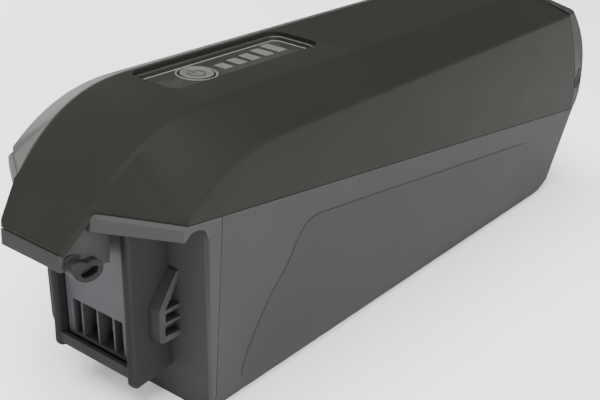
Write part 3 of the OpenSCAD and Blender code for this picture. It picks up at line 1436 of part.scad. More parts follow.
// gaskets
module cover_gasket() {
  color([0.07, 0.07, 0.07]) difference() {
    intersection() {
      across(split_band(frame_x, frame_end_x, seal_low, seal_high), -half, half);
      block(frame_x + fit_gap * 2, frame_end_x - fit_gap, -gasket_half, gasket_half, 0, case_height);
    }
    block(frame_x + gasket_w, frame_end_x - gasket_w,
      -gasket_half + gasket_w, gasket_half - gasket_w, 0, case_height);
  }
}
end_gasket_low = 2.8;
end_gasket_drop = 1.5;
end_gasket_top = split(frame_x) - end_gasket_drop;
module end_cap_gasket() {
  color([0.07, 0.07, 0.07]) difference() {
    intersection() {
      block(end_seam_x - seam_gap / 2, frame_x, -gasket_half, gasket_half, end_gasket_low, end_gasket_top);
      along(lower_section(wall + fit_gap), end_seam_x - over, frame_x + over);
    }
    block(end_seam_x - over, frame_x + over, -gasket_half + gasket_w, gasket_half - gasket_w,
      floor_pad_z, end_gasket_top - gasket_w);
  }
}
short_screw_share = 0.8;
short_screw = screw_length * short_screw_share;
module cover_screws() {
  color([0.7, 0.7, 0.72]) for (p = cover_screws_at) screw(p[0], p[1], seat_z(p), screw_length);
}
module roof_screws() {
  color([0.7, 0.7, 0.72]) for (p = roof_screws_at) screw(p[0], p[1], roof_z, short_screw);
}
module floor_screws() {
  color([0.7, 0.7, 0.72]) for (p = floor_screws_at) screw(p[0], p[1], floor_seat_z, short_screw);
}
module rear_cap_screws() {
  color([0.7, 0.7, 0.72]) for (p = cap_screws_at) screw(p[0], p[1], cap_seat_z, short_screw);
}
module threaded_inserts() {
  color([0.8, 0.65, 0.3]) {
    for (p = cover_screws_at) insert(p[0], p[1], boss_z(p));
    for (p = roof_screws_at) insert(p[0], p[1], roof_boss_z(p) + fit_gap);
    for (p = floor_screws_at) insert(p[0], p[1], floor_boss_z);
    for (p = cap_screws_at) insert(p[0], p[1], cap_tab_z);
  }
}

translate([-part, 0, 0]) {
  top_cover();
  lower_shell();
  end_cap();
  rear_cap();
  socket_housing();
  power_contacts();
  signal_contacts();
  socket_gasket();
  socket_screws();
  display_panel();
  display_bezel();
  button_ring();
  power_button();
  switch_plunger();
  tact_switch();
  light_bars();
  state_leds();
  display_board();
  display_screws();
  display_cable();
  cells();
  left_cell_holder();
  right_cell_holder();
  tie_bolts();
  tie_nuts();
  left_nickel_strips();
  right_nickel_strips();
  left_insulator();
  right_insulator();
  sense_ribbons();
  foam_pads();
  bms_board();
  bms_screws();
  bms_transistors();
  bms_heat_sink();
  bms_capacitors();
  bms_shunts();
  bms_chips();
  thermistor();
  fuse_holder();
  fuse();
  positive_lead();
  fused_lead();
  pack_lead();
  negative_lead();
  charge_wires();
  charge_socket();
  charge_pin();
  charge_contact();
  charge_port_flap();
  flap_hinge_pin();
  lock_bush();
  cover_gasket();
  end_cap_gasket();
  cover_screws();
  roof_screws();
  floor_screws();
  rear_cap_screws();
  threaded_inserts();
}
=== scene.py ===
import math

import bmesh
import bpy
from mathutils import Matrix, Vector


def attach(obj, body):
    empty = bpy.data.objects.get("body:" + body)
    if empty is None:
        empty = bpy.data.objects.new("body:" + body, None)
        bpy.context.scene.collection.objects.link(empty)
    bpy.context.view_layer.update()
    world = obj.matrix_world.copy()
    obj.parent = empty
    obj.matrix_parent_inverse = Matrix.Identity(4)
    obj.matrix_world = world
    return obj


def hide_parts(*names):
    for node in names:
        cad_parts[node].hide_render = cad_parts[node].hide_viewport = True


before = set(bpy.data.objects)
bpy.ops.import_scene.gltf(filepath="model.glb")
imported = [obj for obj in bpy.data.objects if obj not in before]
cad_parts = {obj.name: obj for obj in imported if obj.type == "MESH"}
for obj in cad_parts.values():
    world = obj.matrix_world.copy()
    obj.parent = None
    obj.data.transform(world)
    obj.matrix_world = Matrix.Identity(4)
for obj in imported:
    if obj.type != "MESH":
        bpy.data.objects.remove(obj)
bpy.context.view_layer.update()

# The pack is laid out in millimetres from the beak tip (x), the middle plane (y) and the base (z).
MM = 0.001
LENGTH = 370.0
HALF = 46.0
TOP = 116.4
WALL = 2.6
SEAM = 0.3
BODY = "pack"
OUTSIDE = 60.0  # reach of a cut past the sides
TALL = 120.0  # height that lies above every piece
DEEP = -5.0  # depth that lies below every piece

# cover
SPLIT_AT_TIP, SPLIT_FALL = 90.28, 0.122
NOSE_X, NOSE_HALF, NOSE_TOP = 11, 19.5, 90.2
SWEEP_X, SWEEP_HALF = 29, 19.8
HOOD_X, HOOD_CURVE = 70, 2.5
FLAT_HALF, FLAT_TAPER = 23, 3.5
SHOULDER_Z, SHOULDER_X = 107, 85
SHOULDER_LIFT, LIFT_START, LIFT_END = 1.5, 90, 140

# rear end
PEAK_Z, PEAK_DRAW, PEAK_RISE, PEAK_CURVE = 57, 32, 53.5, 2.3
UNDER_DRAW, UNDER_RISE = 5, 11
SEAM_X, SEAM_Z, SEAM_DRAW, SEAM_RISE, SEAM_CURVE = 359.5, 50, 27, 58, 1.7

# front wall and connector block
WALL_FOOT_X, WALL_LEAN = 46.5, 0.068
BLOCK_FOOT_X, BLOCK_LEAN = 26, 0.0617
END_SEAM_X, SHELL_FRONT_X = 48.65, 48.95

# lower shell
FOOT_HALF, FOOT_TOP = 43.5, 7.3
CORNER_R = 3.4
SLOPE_X, SLOPE = 340, 0.54
SLOPE_TOP = 100

# screws: place along the pack and distance from its middle plane
FRONT_SCREW = (56.6, 37.3)
REAR_SCREW = (326, 37.3)
FLOOR_SCREW = (54.5, 22)
CAP_SCREW = (355, 30)
HEAD_R, SHANK_R = 2.85, 1.65
LOCK_X, LOCK_R, LOCK_TOP = 328, 6.02, 10.4

# display, button and charge port
POCKET_Z = 110.4
BUTTON_X, BUTTON_Y = 95.8, 10.1
PRESS, PRESS_ROOM = 0.8, 0.3
BUTTON_Z = POCKET_Z + PRESS + PRESS_ROOM
BAR_NEAR_Y, BAR_PIPE_Y = 6.6, 10
BARS = [(109.4, 5.4, 13.1), (118.4, 5.4, 14.3), (127.2, 5.6, 15.1), (136.3, 5.6, 16.4), (145.0, 5.7, 18.0)]
PORT_X, PORT_Z = 362.4, 63
HINGE_Y, HINGE_Z = -45.05, 69.2


def at(x, y, z):
    return Vector(((x - LENGTH / 2) * MM, y * MM, z * MM))


# shapes of the housings

def split(x):
    """Height of the parting line between cover and shell."""
    return SPLIT_AT_TIP - SPLIT_FALL * x


def share(x, low, high):
    return min(1.0, max(0.0, (x - low) / (high - low)))


def crown(x):
    """Height of the cover's flat top, which the hood drops from."""
    return TOP - (TOP - NOSE_TOP) * (1 - share(x, NOSE_X, HOOD_X)) ** HOOD_CURVE


def crown_half(x):
    return FLAT_HALF - FLAT_TAPER * (1 - share(x, NOSE_X, HOOD_X)) ** HOOD_CURVE


def sweep_half(x):
    return SWEEP_HALF + (HALF - SWEEP_HALF) * share(x, NOSE_X, SWEEP_X)


def shoulder(x):
    """Height of the crease between the cover's side and its slanted shoulder."""
    if x < SWEEP_X:
        return split(x) + 1 - share(x, NOSE_X, SWEEP_X)
    drop = (SHOULDER_Z - split(SWEEP_X)) * (1 - share(x, SWEEP_X, SHOULDER_X)) ** HOOD_CURVE
    return SHOULDER_Z - drop + SHOULDER_LIFT * share(x, LIFT_START, LIFT_END)


def rear_edge(z):
    """Rear end of the rear cap, furthest out at the peak."""
    if z > PEAK_Z:
        return LENGTH - PEAK_DRAW * ((z - PEAK_Z) / PEAK_RISE) ** PEAK_CURVE
    return LENGTH - UNDER_DRAW * ((PEAK_Z - z) / UNDER_RISE) ** 2


def rear_seam(z):
    """Curved seam between cover and rear cap."""
    return SEAM_X - SEAM_DRAW * (max(0.0, z - SEAM_Z) / SEAM_RISE) ** SEAM_CURVE


def wall_front(z):
    return WALL_FOOT_X - WALL_LEAN * z


def block_front(z):
    return BLOCK_FOOT_X - BLOCK_LEAN * z


def over_split(x):
    """Lower edge of the upper pieces, half a seam above the parting line."""
    return split(x) + SEAM / 2


def under_split(x):
    """Upper edge of the lower pieces, half a seam below the parting line."""
    return split(x) - SEAM / 2


def side_word(side):
    return "left" if side < 0 else "right"


def across(side, inner, outer):
    """Range of y between two distances from the middle plane, on one side."""
    return (-outer, -inner) if side < 0 else (inner, outer)


# mesh tools

FLAT_ANGLE = 0.05  # degrees between faces that count as one plane


def piece_from(name, points, faces):
    mesh = bpy.data.meshes.new(name)
    mesh.from_pydata([at(*p) for p in points], [], faces)
    mesh.validate()
    piece = bpy.data.objects.new(name, mesh)
    bpy.context.scene.collection.objects.link(piece)
    shape = bmesh.new()
    shape.from_mesh(mesh)
    bmesh.ops.remove_doubles(shape, verts=shape.verts, dist=1e-6)
    bmesh.ops.recalc_face_normals(shape, faces=shape.faces)
    shape.to_mesh(mesh)
    shape.free()
    return piece


def loft(name, rings):
    """Closed skin over rings of points with the same count."""
    count = len(rings[0])
    points = [p for ring in rings for p in ring]
    faces = [list(range(count)), list(range((len(rings) - 1) * count, len(rings) * count))]
    for r in range(len(rings) - 1):
        for i in range(count):
            j = (i + 1) % count
            faces.append([r * count + i, r * count + j, (r + 1) * count + j, (r + 1) * count + i])
    return piece_from(name, points, faces)


def prism(name, outline, axis, low, high):
    """A flat outline run along one axis: x takes (y, z), y takes (x, z), z takes (x, y)."""
    place = {
        "x": lambda a, b, c: (c, a, b),
        "y": lambda a, b, c: (a, c, b),
        "z": lambda a, b, c: (a, b, c),
    }[axis]
    return loft(name, [[place(a, b, c) for a, b in outline] for c in (low, high)])


def bar(name, x0, x1, y0, y1, z0, z1):
    return prism(name, [(x0, y0), (x1, y0), (x1, y1), (x0, y1)], "z", z0, z1)


def arc(cx, cy, r, start, end, steps=8):
    turns = [math.radians(start + (end - start) * i / steps) for i in range(steps + 1)]
    return [(cx + r * math.cos(t), cy + r * math.sin(t)) for t in turns]


def disc(cx, cy, r, steps=64):
    return arc(cx, cy, r, 0, 360, steps)[:-1]


def rounded(x0, x1, y0, y1, r, steps=8):
    return (arc(x1 - r, y1 - r, r, 0, 90, steps) + arc(x0 + r, y1 - r, r, 90, 180, steps)
            + arc(x0 + r, y0 + r, r, 180, 270, steps) + arc(x1 - r, y0 + r, r, 270, 360, steps))


def eased(outline, reach, steps=5):
    """Outline with each corner rounded over the given reach along its sides."""
    done = []
    for i, corner in enumerate(outline):
        before = Vector(outline[i - 1]) - Vector(corner)
        after = Vector(outline[(i + 1) % len(outline)]) - Vector(corner)
        r = min(reach, before.length * 0.45, after.length * 0.45)
        start = Vector(corner) + before.normalized() * r
        end = Vector(corner) + after.normalized() * r
        for k in range(steps + 1):
            t = k / steps
            done.append(tuple(start * (1 - t) ** 2 + Vector(corner) * 2 * t * (1 - t) + end * t * t))
    return done


def settle(piece):
    """Makes the modifiers part of the mesh."""
    graph = bpy.context.evaluated_depsgraph_get()
    mesh = bpy.data.meshes.new_from_object(piece.evaluated_get(graph))
    piece.modifiers.clear()
    old = piece.data
    piece.data = mesh
    bpy.data.meshes.remove(old)
    return piece


def combine(piece, tool, operation="DIFFERENCE"):
    step = piece.modifiers.new("combine", "BOOLEAN")
    step.operation = operation
    step.solver = "EXACT"
    step.object = tool
    settle(piece)
    bpy.data.objects.remove(tool)
    return piece


def bore(name, spot, r, low, high, steps=32):
    """Upright round tool at a place (x, y)."""
    return prism(name, disc(*spot, r, steps), "z", low, high)


def above_split():
    """Block over everything that lies higher than the parting line."""
    outline = [(-10, under_split(-10)), (400, under_split(400)), (400, 200), (-10, 200)]
    return prism("above", outline, "y", -OUTSIDE, OUTSIDE)


def join_flats(piece):
    """Joins the faces that lie in one plane, so that rounding meets whole edges."""
    shape = bmesh.new()
    shape.from_mesh(piece.data)
    bmesh.ops.dissolve_limit(
        shape, angle_limit=math.radians(FLAT_ANGLE), verts=shape.verts, edges=shape.edges)
    shape.to_mesh(piece.data)
    shape.free()


def soften(piece, width, segments=3, angle=32, flats=True):
    """Rounds the sharp edges and keeps the flats flat."""
    if flats:
        join_flats(piece)
    step = piece.modifiers.new("edges", "BEVEL")
    step.width = width * MM
    step.segments = segments
    step.limit_method = "ANGLE"
    step.angle_limit = math.radians(angle)
    step.harden_normals = True
    step.miter_outer = "MITER_ARC"
    piece.data.shade_smooth()
    even = piece.modifiers.new("shading", "WEIGHTED_NORMAL")
    even.keep_sharp = True
    return piece


def finish(piece, material, slot, *nodes, body=BODY):
    piece.data.materials.clear()
    piece.data.materials.append(material)
    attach(piece, body)
    if nodes:
        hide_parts(*nodes)
    return piece


# materials

def value_socket(group, name, value, direction="INPUT", kind="NodeSocketFloat"):
    socket = group.interface.new_socket(name=name, in_out=direction, socket_type=kind)
    if direction == "INPUT":
        socket.default_value = value
    return socket


def moulded_grain():
    """Fine grain of moulded plastic, with faint broad tone changes, paler edges and handling marks."""
    group = bpy.data.node_groups.new("moulded grain", "ShaderNodeTree")
    value_socket(group, "Grain Scale", 2600.0)
    value_socket(group, "Depth", 0.12)
    value_socket(group, "Base Roughness", 0.5)
    value_socket(group, "Colour", (0.1, 0.1, 0.1, 1), kind="NodeSocketColor")
    value_socket(group, "Edge Colour", (0.2, 0.2, 0.2, 1), kind="NodeSocketColor")
    value_socket(group, "Edge Amount", 0.3)
    value_socket(group, "Tone Change", 0.08)
    value_socket(group, "Colour", None, "OUTPUT", "NodeSocketColor")
    value_socket(group, "Roughness", None, "OUTPUT")
    value_socket(group, "Normal", None, "OUTPUT", "NodeSocketVector")
    nodes, links = group.nodes, group.links
    given = nodes.new("NodeGroupInput")
    out = nodes.new("NodeGroupOutput")
    place = nodes.new("ShaderNodeTexCoord")

    grain = nodes.new("ShaderNodeTexNoise")
    grain.inputs["Detail"].default_value = 2.0
    links.new(place.outputs["Object"], grain.inputs["Vector"])
    links.new(given.outputs["Grain Scale"], grain.inputs["Scale"])
    bump = nodes.new("ShaderNodeBump")
    bump.inputs["Distance"].default_value = 0.00004
    links.new(given.outputs["Depth"], bump.inputs["Strength"])
    links.new(grain.outputs["Fac"], bump.inputs["Height"])
    links.new(bump.outputs["Normal"], out.inputs["Normal"])

    cloud = nodes.new("ShaderNodeTexNoise")
    cloud.inputs["Scale"].default_value = 14.0
    cloud.inputs["Detail"].default_value = 4.0
    links.new(place.outputs["Object"], cloud.inputs["Vector"])
    swing = nodes.new("ShaderNodeMapRange")
    swing.inputs["From Min"].default_value = 0.3
    swing.inputs["From Max"].default_value = 0.7
    swing.inputs["To Min"].default_value = -1.0
    swing.inputs["To Max"].default_value = 1.0
    links.new(cloud.outputs["Fac"], swing.inputs["Value"])
    tone = nodes.new("ShaderNodeMath")
    tone.operation = "MULTIPLY_ADD"
    links.new(swing.outputs["Result"], tone.inputs[0])
    links.new(given.outputs["Tone Change"], tone.inputs[1])
    tone.inputs[2].default_value = 1.0
    shade = nodes.new("ShaderNodeVectorMath")
    shade.operation = "SCALE"
    links.new(given.outputs["Colour"], shade.inputs[0])
    links.new(tone.outputs["Value"], shade.inputs["Scale"])

    form = nodes.new("ShaderNodeNewGeometry")
    worn = nodes.new("ShaderNodeMapRange")
    worn.inputs["From Min"].default_value = 0.51
    worn.inputs["From Max"].default_value = 0.56
    links.new(form.outputs["Pointiness"], worn.inputs["Value"])
    amount = nodes.new("ShaderNodeMath")
    amount.operation = "MULTIPLY"
    links.new(worn.outputs["Result"], amount.inputs[0])
    links.new(given.outputs["Edge Amount"], amount.inputs[1])
    mix = nodes.new("ShaderNodeMix")
    mix.data_type = "RGBA"
    links.new(amount.outputs["Value"], mix.inputs["Factor"])
    links.new(shade.outputs["Vector"], mix.inputs["A"])
    links.new(given.outputs["Edge Colour"], mix.inputs["B"])
    links.new(mix.outputs["Result"], out.inputs["Colour"])

    marks = nodes.new("ShaderNodeTexNoise")
    marks.inputs["Scale"].default_value = 55.0
    marks.inputs["Detail"].default_value = 6.0
    links.new(place.outputs["Object"], marks.inputs["Vector"])
    spread = nodes.new("ShaderNodeMapRange")
    spread.inputs["To Min"].default_value = -0.06
    spread.inputs["To Max"].default_value = 0.06
    links.new(marks.outputs["Fac"], spread.inputs["Value"])
    rough = nodes.new("ShaderNodeMath")
    rough.operation = "ADD"
    links.new(given.outputs["Base Roughness"], rough.inputs[0])
    links.new(spread.outputs["Result"], rough.inputs[1])
    links.new(rough.outputs["Value"], out.inputs["Roughness"])
    return group


GRAIN = moulded_grain()


TONE_CHANGE = 0.07


def plastic(name, colour, roughness, grain=2600.0, depth=0.12, edge_amount=0.25, specular=0.5, metallic=0.0):
    """Material with the moulded grain, which metals, film and card use with their own values."""
    material = bpy.data.materials.new(name)
    material.use_nodes = True
    nodes, links = material.node_tree.nodes, material.node_tree.links
    shader = nodes["Principled BSDF"]
    surface = nodes.new("ShaderNodeGroup")
    surface.node_tree = GRAIN
    surface.inputs["Grain Scale"].default_value = grain
    surface.inputs["Depth"].default_value = depth
    surface.inputs["Base Roughness"].default_value = roughness
    surface.inputs["Colour"].default_value = (*colour, 1)
    surface.inputs["Edge Colour"].default_value = (*[min(1.0, c * 2.2 + 0.02) for c in colour], 1)
    surface.inputs["Edge Amount"].default_value = edge_amount
    surface.inputs["Tone Change"].default_value = TONE_CHANGE
    links.new(surface.outputs["Colour"], shader.inputs["Base Color"])
    links.new(surface.outputs["Roughness"], shader.inputs["Roughness"])
    links.new(surface.outputs["Normal"], shader.inputs["Normal"])
    shader.inputs["Specular IOR Level"].default_value = specular
    shader.inputs["Metallic"].default_value = metallic
    return material


COVER = plastic("cover satin plastic", (0.0118, 0.0126, 0.0104), 0.46, depth=0.10, edge_amount=0.03,
                specular=0.03)
SHELL = plastic("shell matt plastic", (0.0214, 0.0210, 0.0215), 0.52, depth=0.16, specular=0.03)
# A darker copy of the shell's plastic: painted shade under the roof and the beak, for the lug and the
# connector block, which are one moulding with the end cap.
SHELL_PAINTED_SHADE = plastic("shell plastic with painted shade", (0.0120, 0.0121, 0.0124), 0.5, depth=0.16, specular=0.03)
REAR = plastic("rear cap plastic", (0.0130, 0.0135, 0.0125), 0.42, specular=0.04)
SOCKET = plastic("socket plastic", (0.026, 0.026, 0.0295), 0.48, specular=0.2)
DARK = plastic("dark recess plastic", (0.01, 0.01, 0.01), 0.6)
BEZEL = plastic("bezel plastic", (0.012, 0.0125, 0.011), 0.45)
# Pale colour for a thin ring at the bezel's foot: a painted highlight on the chamfer where the panel meets
# the pocket wall.
PAINTED_HIGHLIGHT_TRIM = plastic("bezel foot painted highlight", (0.11, 0.112, 0.10), 0.4, depth=0.04)
PANEL = plastic("display panel plastic", (0.0135, 0.0148, 0.0122), 0.42, depth=0.05, specular=0.15)
RING = plastic("button ring paint", (0.070, 0.072, 0.064), 0.45, depth=0.04, specular=0.2)
BUTTON = plastic("button plastic", (0.060, 0.062, 0.055), 0.45, depth=0.05)
LIGHT = plastic("light pipe plastic", (0.058, 0.060, 0.054), 0.42, depth=0.05)
SYMBOL = plastic("symbol ink", (0.018, 0.018, 0.016), 0.5)
RUBBER = plastic("flap rubber", (0.010, 0.010, 0.0105), 0.62, grain=1400.0, depth=0.3, specular=0.08)
SEAL = plastic("gasket rubber", (0.02, 0.02, 0.02), 0.7)
BRASS = plastic("contact brass", (0.7, 0.5, 0.22), 0.28, depth=0.05, metallic=1.0)
STEEL = plastic("screw steel", (0.5, 0.5, 0.52), 0.3, grain=900.0, metallic=1.0)
NICKEL = plastic("nickel strip", (0.55, 0.53, 0.49), 0.35, grain=700.0, metallic=1.0)
HEATSINK = plastic("heat sink aluminium", (0.6, 0.6, 0.62), 0.4, grain=500.0, metallic=1.0)
BOARD = plastic("circuit board resist", (0.02, 0.11, 0.045), 0.3)
FILM = plastic("flexible film", (0.42, 0.2, 0.05), 0.3)
CELL = plastic("cell sleeve", (0.03, 0.2, 0.38), 0.28)
HOLDER = plastic("holder plastic", (0.025, 0.025, 0.025), 0.5)
CARD = plastic("insulator card", (0.6, 0.52, 0.33), 0.8, grain=900.0, depth=0.3)
CHIP = plastic("epoxy black", (0.015, 0.015, 0.015), 0.4)
SLEEVE = plastic("capacitor sleeve", (0.03, 0.03, 0.09), 0.3)
FUSE = plastic("fuse amber", (0.55, 0.22, 0.02), 0.25)
RED = plastic("red insulation", (0.35, 0.015, 0.012), 0.45)
BLACK = plastic("black insulation", (0.015, 0.015, 0.015), 0.45)

NODE_FINISH = {
    "cover_gasket": SEAL, "end_cap_gasket": SEAL, "socket_gasket": SEAL, "foam_pads": SEAL,
    "power_contacts": BRASS, "signal_contacts": BRASS, "charge_pin": BRASS, "charge_contact": BRASS,
    "threaded_inserts": BRASS, "socket_screws": STEEL, "display_screws": STEEL, "bms_screws": STEEL,
    "cover_screws": STEEL, "roof_screws": STEEL, "floor_screws": STEEL, "rear_cap_screws": STEEL,
    "tie_bolts": STEEL, "tie_nuts": STEEL, "flap_hinge_pin": STEEL, "lock_bush": STEEL,
    "left_nickel_strips": NICKEL, "right_nickel_strips": NICKEL, "bms_shunts": NICKEL,
    "bms_heat_sink": HEATSINK, "display_board": BOARD, "bms_board": BOARD, "display_cable": FILM,
    "sense_ribbons": FILM, "cells": CELL, "left_cell_holder": HOLDER, "right_cell_holder": HOLDER,
    "fuse_holder": HOLDER, "left_insulator": CARD, "right_insulator": CARD, "bms_transistors": CHIP,
    "bms_chips": CHIP, "thermistor": CHIP, "bms_capacitors": SLEEVE, "fuse": FUSE,
    "positive_lead": RED, "fused_lead": RED, "pack_lead": BLACK, "negative_lead": BLACK,
    "charge_wires": BLACK, "tact_switch": BUTTON, "state_leds": LIGHT, "switch_plunger": LIGHT,
    "charge_socket": DARK,
}
for node, material in NODE_FINISH.items():
    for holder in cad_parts[node].material_slots:
        holder.material = material


# cover

def cover_ring(x, place, inset=0.0):
    """Section of the cover at x: sides, slanted shoulders, flat top, with rounded corners."""
    swept = x - 2 if x < SWEEP_X + 2 else x
    half = max(NOSE_HALF + 0.1, sweep_half(swept)) - inset
    side_top = shoulder(x) - inset * 2 / 3
    top = crown(x) - inset
    side_top = min(side_top, top - 0.15)
    top_half = min(crown_half(x) - inset / 5, half - 0.15)
    left = [(-half, 40.0), (-half, side_top), (-top_half, top)]
    corners = left + [(-y, z) for y, z in reversed(left)]
    line = [corners[0]]
    for i in range(1, 5):
        corner, before, after = Vector(corners[i]), Vector(corners[i - 1]), Vector(corners[i + 1])
        reach, steps = (1.5, 6) if i in (1, 4) else (1.6, 5)
        reach = min(reach, (before - corner).length * 0.4, (after - corner).length * 0.4)
        start = corner + (before - corner).normalized() * reach
        end = corner + (after - corner).normalized() * reach
        for k in range(steps + 1):
            t = k / steps
            line.append(tuple(start * (1 - t) ** 2 + corner * 2 * t * (1 - t) + end * t * t))
    line.append(corners[5])
    return [(place, y, z) for y, z in line]


def cover_loft(name, inset, step):
    """The cover's outer skin, or its cavity with an inset."""
    xs = [NOSE_X + step * i for i in range(int(74 / step) + 1)]
    rings = [cover_ring(x, x + inset, inset) for x in xs]
    rings += [cover_ring(86, x + inset, inset) for x in range(86, 381, 7)]
    return loft(name, rings)


def display_outline(inset):
    """Rounded outline of the display's pocket, or of a piece that lies an inset within it."""
    return rounded(67 + inset, 159 - inset, -5.8 + inset, 20.9 - inset, 6 - inset)


def make_beak():
    """Slanted plate from the hood's front down to the tip, with rounded corners in plan."""
    foot_z, thick = 76.3, 2.5
    rise = NOSE_TOP - foot_z
    length = math.hypot(NOSE_X, rise)
    inward, down = thick * rise / length, thick * NOSE_X / length
    side = [(0, foot_z), (inward, foot_z - down), (NOSE_X + inward, NOSE_TOP - down), (13.4, 89.4),
            (NOSE_X, NOSE_TOP)]
    beak = prism("beak", side, "y", -30, 30)
    corner_y, corner_r = 13.9, 2.6
    plan = arc(3, -corner_y, corner_r, 180, 257, 6) + [(NOSE_X, -NOSE_HALF), (22, -NOSE_HALF)]
    plan += [(22, NOSE_HALF), (NOSE_X, NOSE_HALF)] + arc(3, corner_y, corner_r, 103, 180, 6)
    return combine(beak, prism("beak_plan", plan, "z", 60, TALL), "INTERSECT")


def make_cover():
    cover = cover_loft("top_cover_shell", 0.0, 1.85)
    seam = [(rear_seam(z), z) for z in [46 + 2.55 * i for i in range(29)]]
    outline = [(5, over_split(5)), (seam[0][0], over_split(seam[0][0]))] + seam[1:] + [(5, seam[-1][1])]
    combine(cover, prism("keep", outline, "y", -OUTSIDE, OUTSIDE), "INTERSECT")
    combine(cover, make_beak(), "UNION")
    combine(cover, cover_loft("cavity", WALL, 4.9))
    combine(cover, prism("pocket", display_outline(0), "z", POCKET_Z, 125))
    soften(cover, 0.45, flats=False)
    finish(cover, COVER, "cover_plastic", "top_cover")


def make_display_tub():
    """Walls and floor of the pocket, with holes for the button's stem and the light pipes."""
    tub = prism("display_tub", rounded(64.6, 161.4, -8.2, 22.9, 7), "z", 108, 113.7)
    combine(tub, prism("pocket", display_outline(0), "z", POCKET_Z, 125))
    combine(tub, bore("stem_hole", (BUTTON_X, BUTTON_Y), 2.35, 100, 125))
    for x, w, _ in BARS:
        combine(tub, bore("pipe_hole", (x + w / 2, BAR_PIPE_Y), 1.55, 100, 125, 24))
    soften(tub, 0.3)
    finish(tub, COVER, "cover_plastic", "top_cover")


# display

def make_panel():
    panel = prism("display_panel_plate", display_outline(0.15), "z", POCKET_Z, 112.4)
    combine(panel, bore("ring_hole", (BUTTON_X, BUTTON_Y), 9.15, 105, TALL, 64))
    for x, w, far in BARS:
        combine(panel, bar("bar_hole", x - 0.15, x + w + 0.15, BAR_NEAR_Y - 0.15, far + 0.15, 105, TALL))
    soften(panel, 0.15)
    finish(panel, PANEL, "panel_gloss", "display_panel")


def make_bezel():
    bezel = prism("display_bezel_frame", display_outline(0.15), "z", 112.4, 114.7)
    combine(bezel, prism("inner", display_outline(1.6), "z", 105, TALL))
    soften(bezel, 0.5)
    finish(bezel, BEZEL, "bezel_plastic", "display_bezel")

    # Thin light ring on the panel at the bezel's inner foot, a painted highlight along the foot of the pocket
    # wall.
    foot = prism("display_bezel_foot_highlight", display_outline(1.65), "z", 112.42, 112.85)
    combine(foot, prism("inner", display_outline(2.4), "z", 105, TALL))
    soften(foot, 0.15)
    finish(foot, PAINTED_HIGHLIGHT_TRIM, "bezel_plastic")


def make_button_ring():
    ring = bore("button_ring_trim", (BUTTON_X, BUTTON_Y), 9, POCKET_Z, 112.8, 64)
    combine(ring, bore("inner", (BUTTON_X, BUTTON_Y), 7.9, 105, TALL, 64))
    soften(ring, 0.35)
    finish(ring, RING, "ring_trim", "button_ring")


def make_light_bars():
    for i, (x, w, far) in enumerate(BARS):
        light = bar("light_bar_%d" % i, x, x + w, BAR_NEAR_Y, far, POCKET_Z, 112.45)
        combine(light, bore("pipe", (x + w / 2, BAR_PIPE_Y), 1.4, 104.1, 111, 24), "UNION")
        soften(light, 0.2)
        finish(light, LIGHT, "light_plastic", "light_bars")


def make_button():
    spot, z = (BUTTON_X, BUTTON_Y), BUTTON_Z
    button = bore("power_button_cap", spot, 7, z, z + 1.4, 64)
    combine(button, bore("dish", spot, 5.6, z + 1.15, z + 4, 64))
    combine(button, bore("stem", spot, 2, 107.1, z + 0.5), "UNION")
    combine(button, bore("collar", spot, 3.2, 106.85, 107.65), "UNION")
    soften(button, 0.22)
    finish(button, BUTTON, "button_plastic", "power_button", body="button")


def make_power_sign():
    """Plain power sign, raised a little in the dish: an open ring and a short bar."""
    low, high = BUTTON_Z + 1.1, BUTTON_Z + 1.3
    line = arc(0, 0, 3.9, 122, 418, 40) + arc(0, 0, 2.9, 418, 122, 40)
    sign = prism("power_sign", [(BUTTON_X + a, BUTTON_Y + b) for a, b in line], "z", low, high)
    finish(soften(sign, 0.05, 1), SYMBOL, "button_plastic", body="button")
    dash = bar("power_sign_bar", 95.35, 96.25, 10.9, 15.0, low, high)
    finish(soften(dash, 0.05, 1), SYMBOL, "button_plastic", body="button")


# lower shell

def shell_half(z):
    return FOOT_HALF + (HALF - FOOT_HALF) * min(z, FOOT_TOP) / FOOT_TOP


def plan_ring(x0, x1, half, r, z):
    """Level ring, open to the front, with its two rear corners rounded."""
    corners = arc(x1 - r, -half + r, r, -90, 0, 8) + arc(x1 - r, half - r, r, 0, 90, 8)
    return [(x, y, z) for x, y in [(x0, -half)] + corners + [(x0, half)]]


def make_shell():
    foot = [(335, 0), (339, 0.8), (342, 3.4), (343.94, FOOT_TOP)]
    slope_end = SLOPE_X + SLOPE * SLOPE_TOP
    rings = [plan_ring(SHELL_FRONT_X, x, shell_half(z), CORNER_R, z) for x, z in foot]
    rings.append(plan_ring(SHELL_FRONT_X, slope_end, HALF, CORNER_R, SLOPE_TOP))
    shell = loft("lower_shell_body", rings)
    inner = [plan_ring(40, x - WALL, shell_half(z + 0.5) - WALL, 1.5, z + WALL) for x, z in foot]
    inner.append(plan_ring(40, slope_end - 3, HALF - WALL, 1.5, SLOPE_TOP + 2))
    combine(shell, loft("cavity", inner))
    combine(shell, above_split())
    for (x, y), top in ((FRONT_SCREW, 6), (REAR_SCREW, 6), (FLOOR_SCREW, 2.4), (CAP_SCREW, 39)):
        for side in (-1, 1):
            combine(shell, bore("screw_hole", (x, side * y), HEAD_R, DEEP, top))
    combine(shell, bore("lock_hole", (LOCK_X, 0), LOCK_R, DEEP, LOCK_TOP, 48))
    soften(shell, 0.5)
    finish(shell, SHELL, "shell_plastic", "lower_shell")


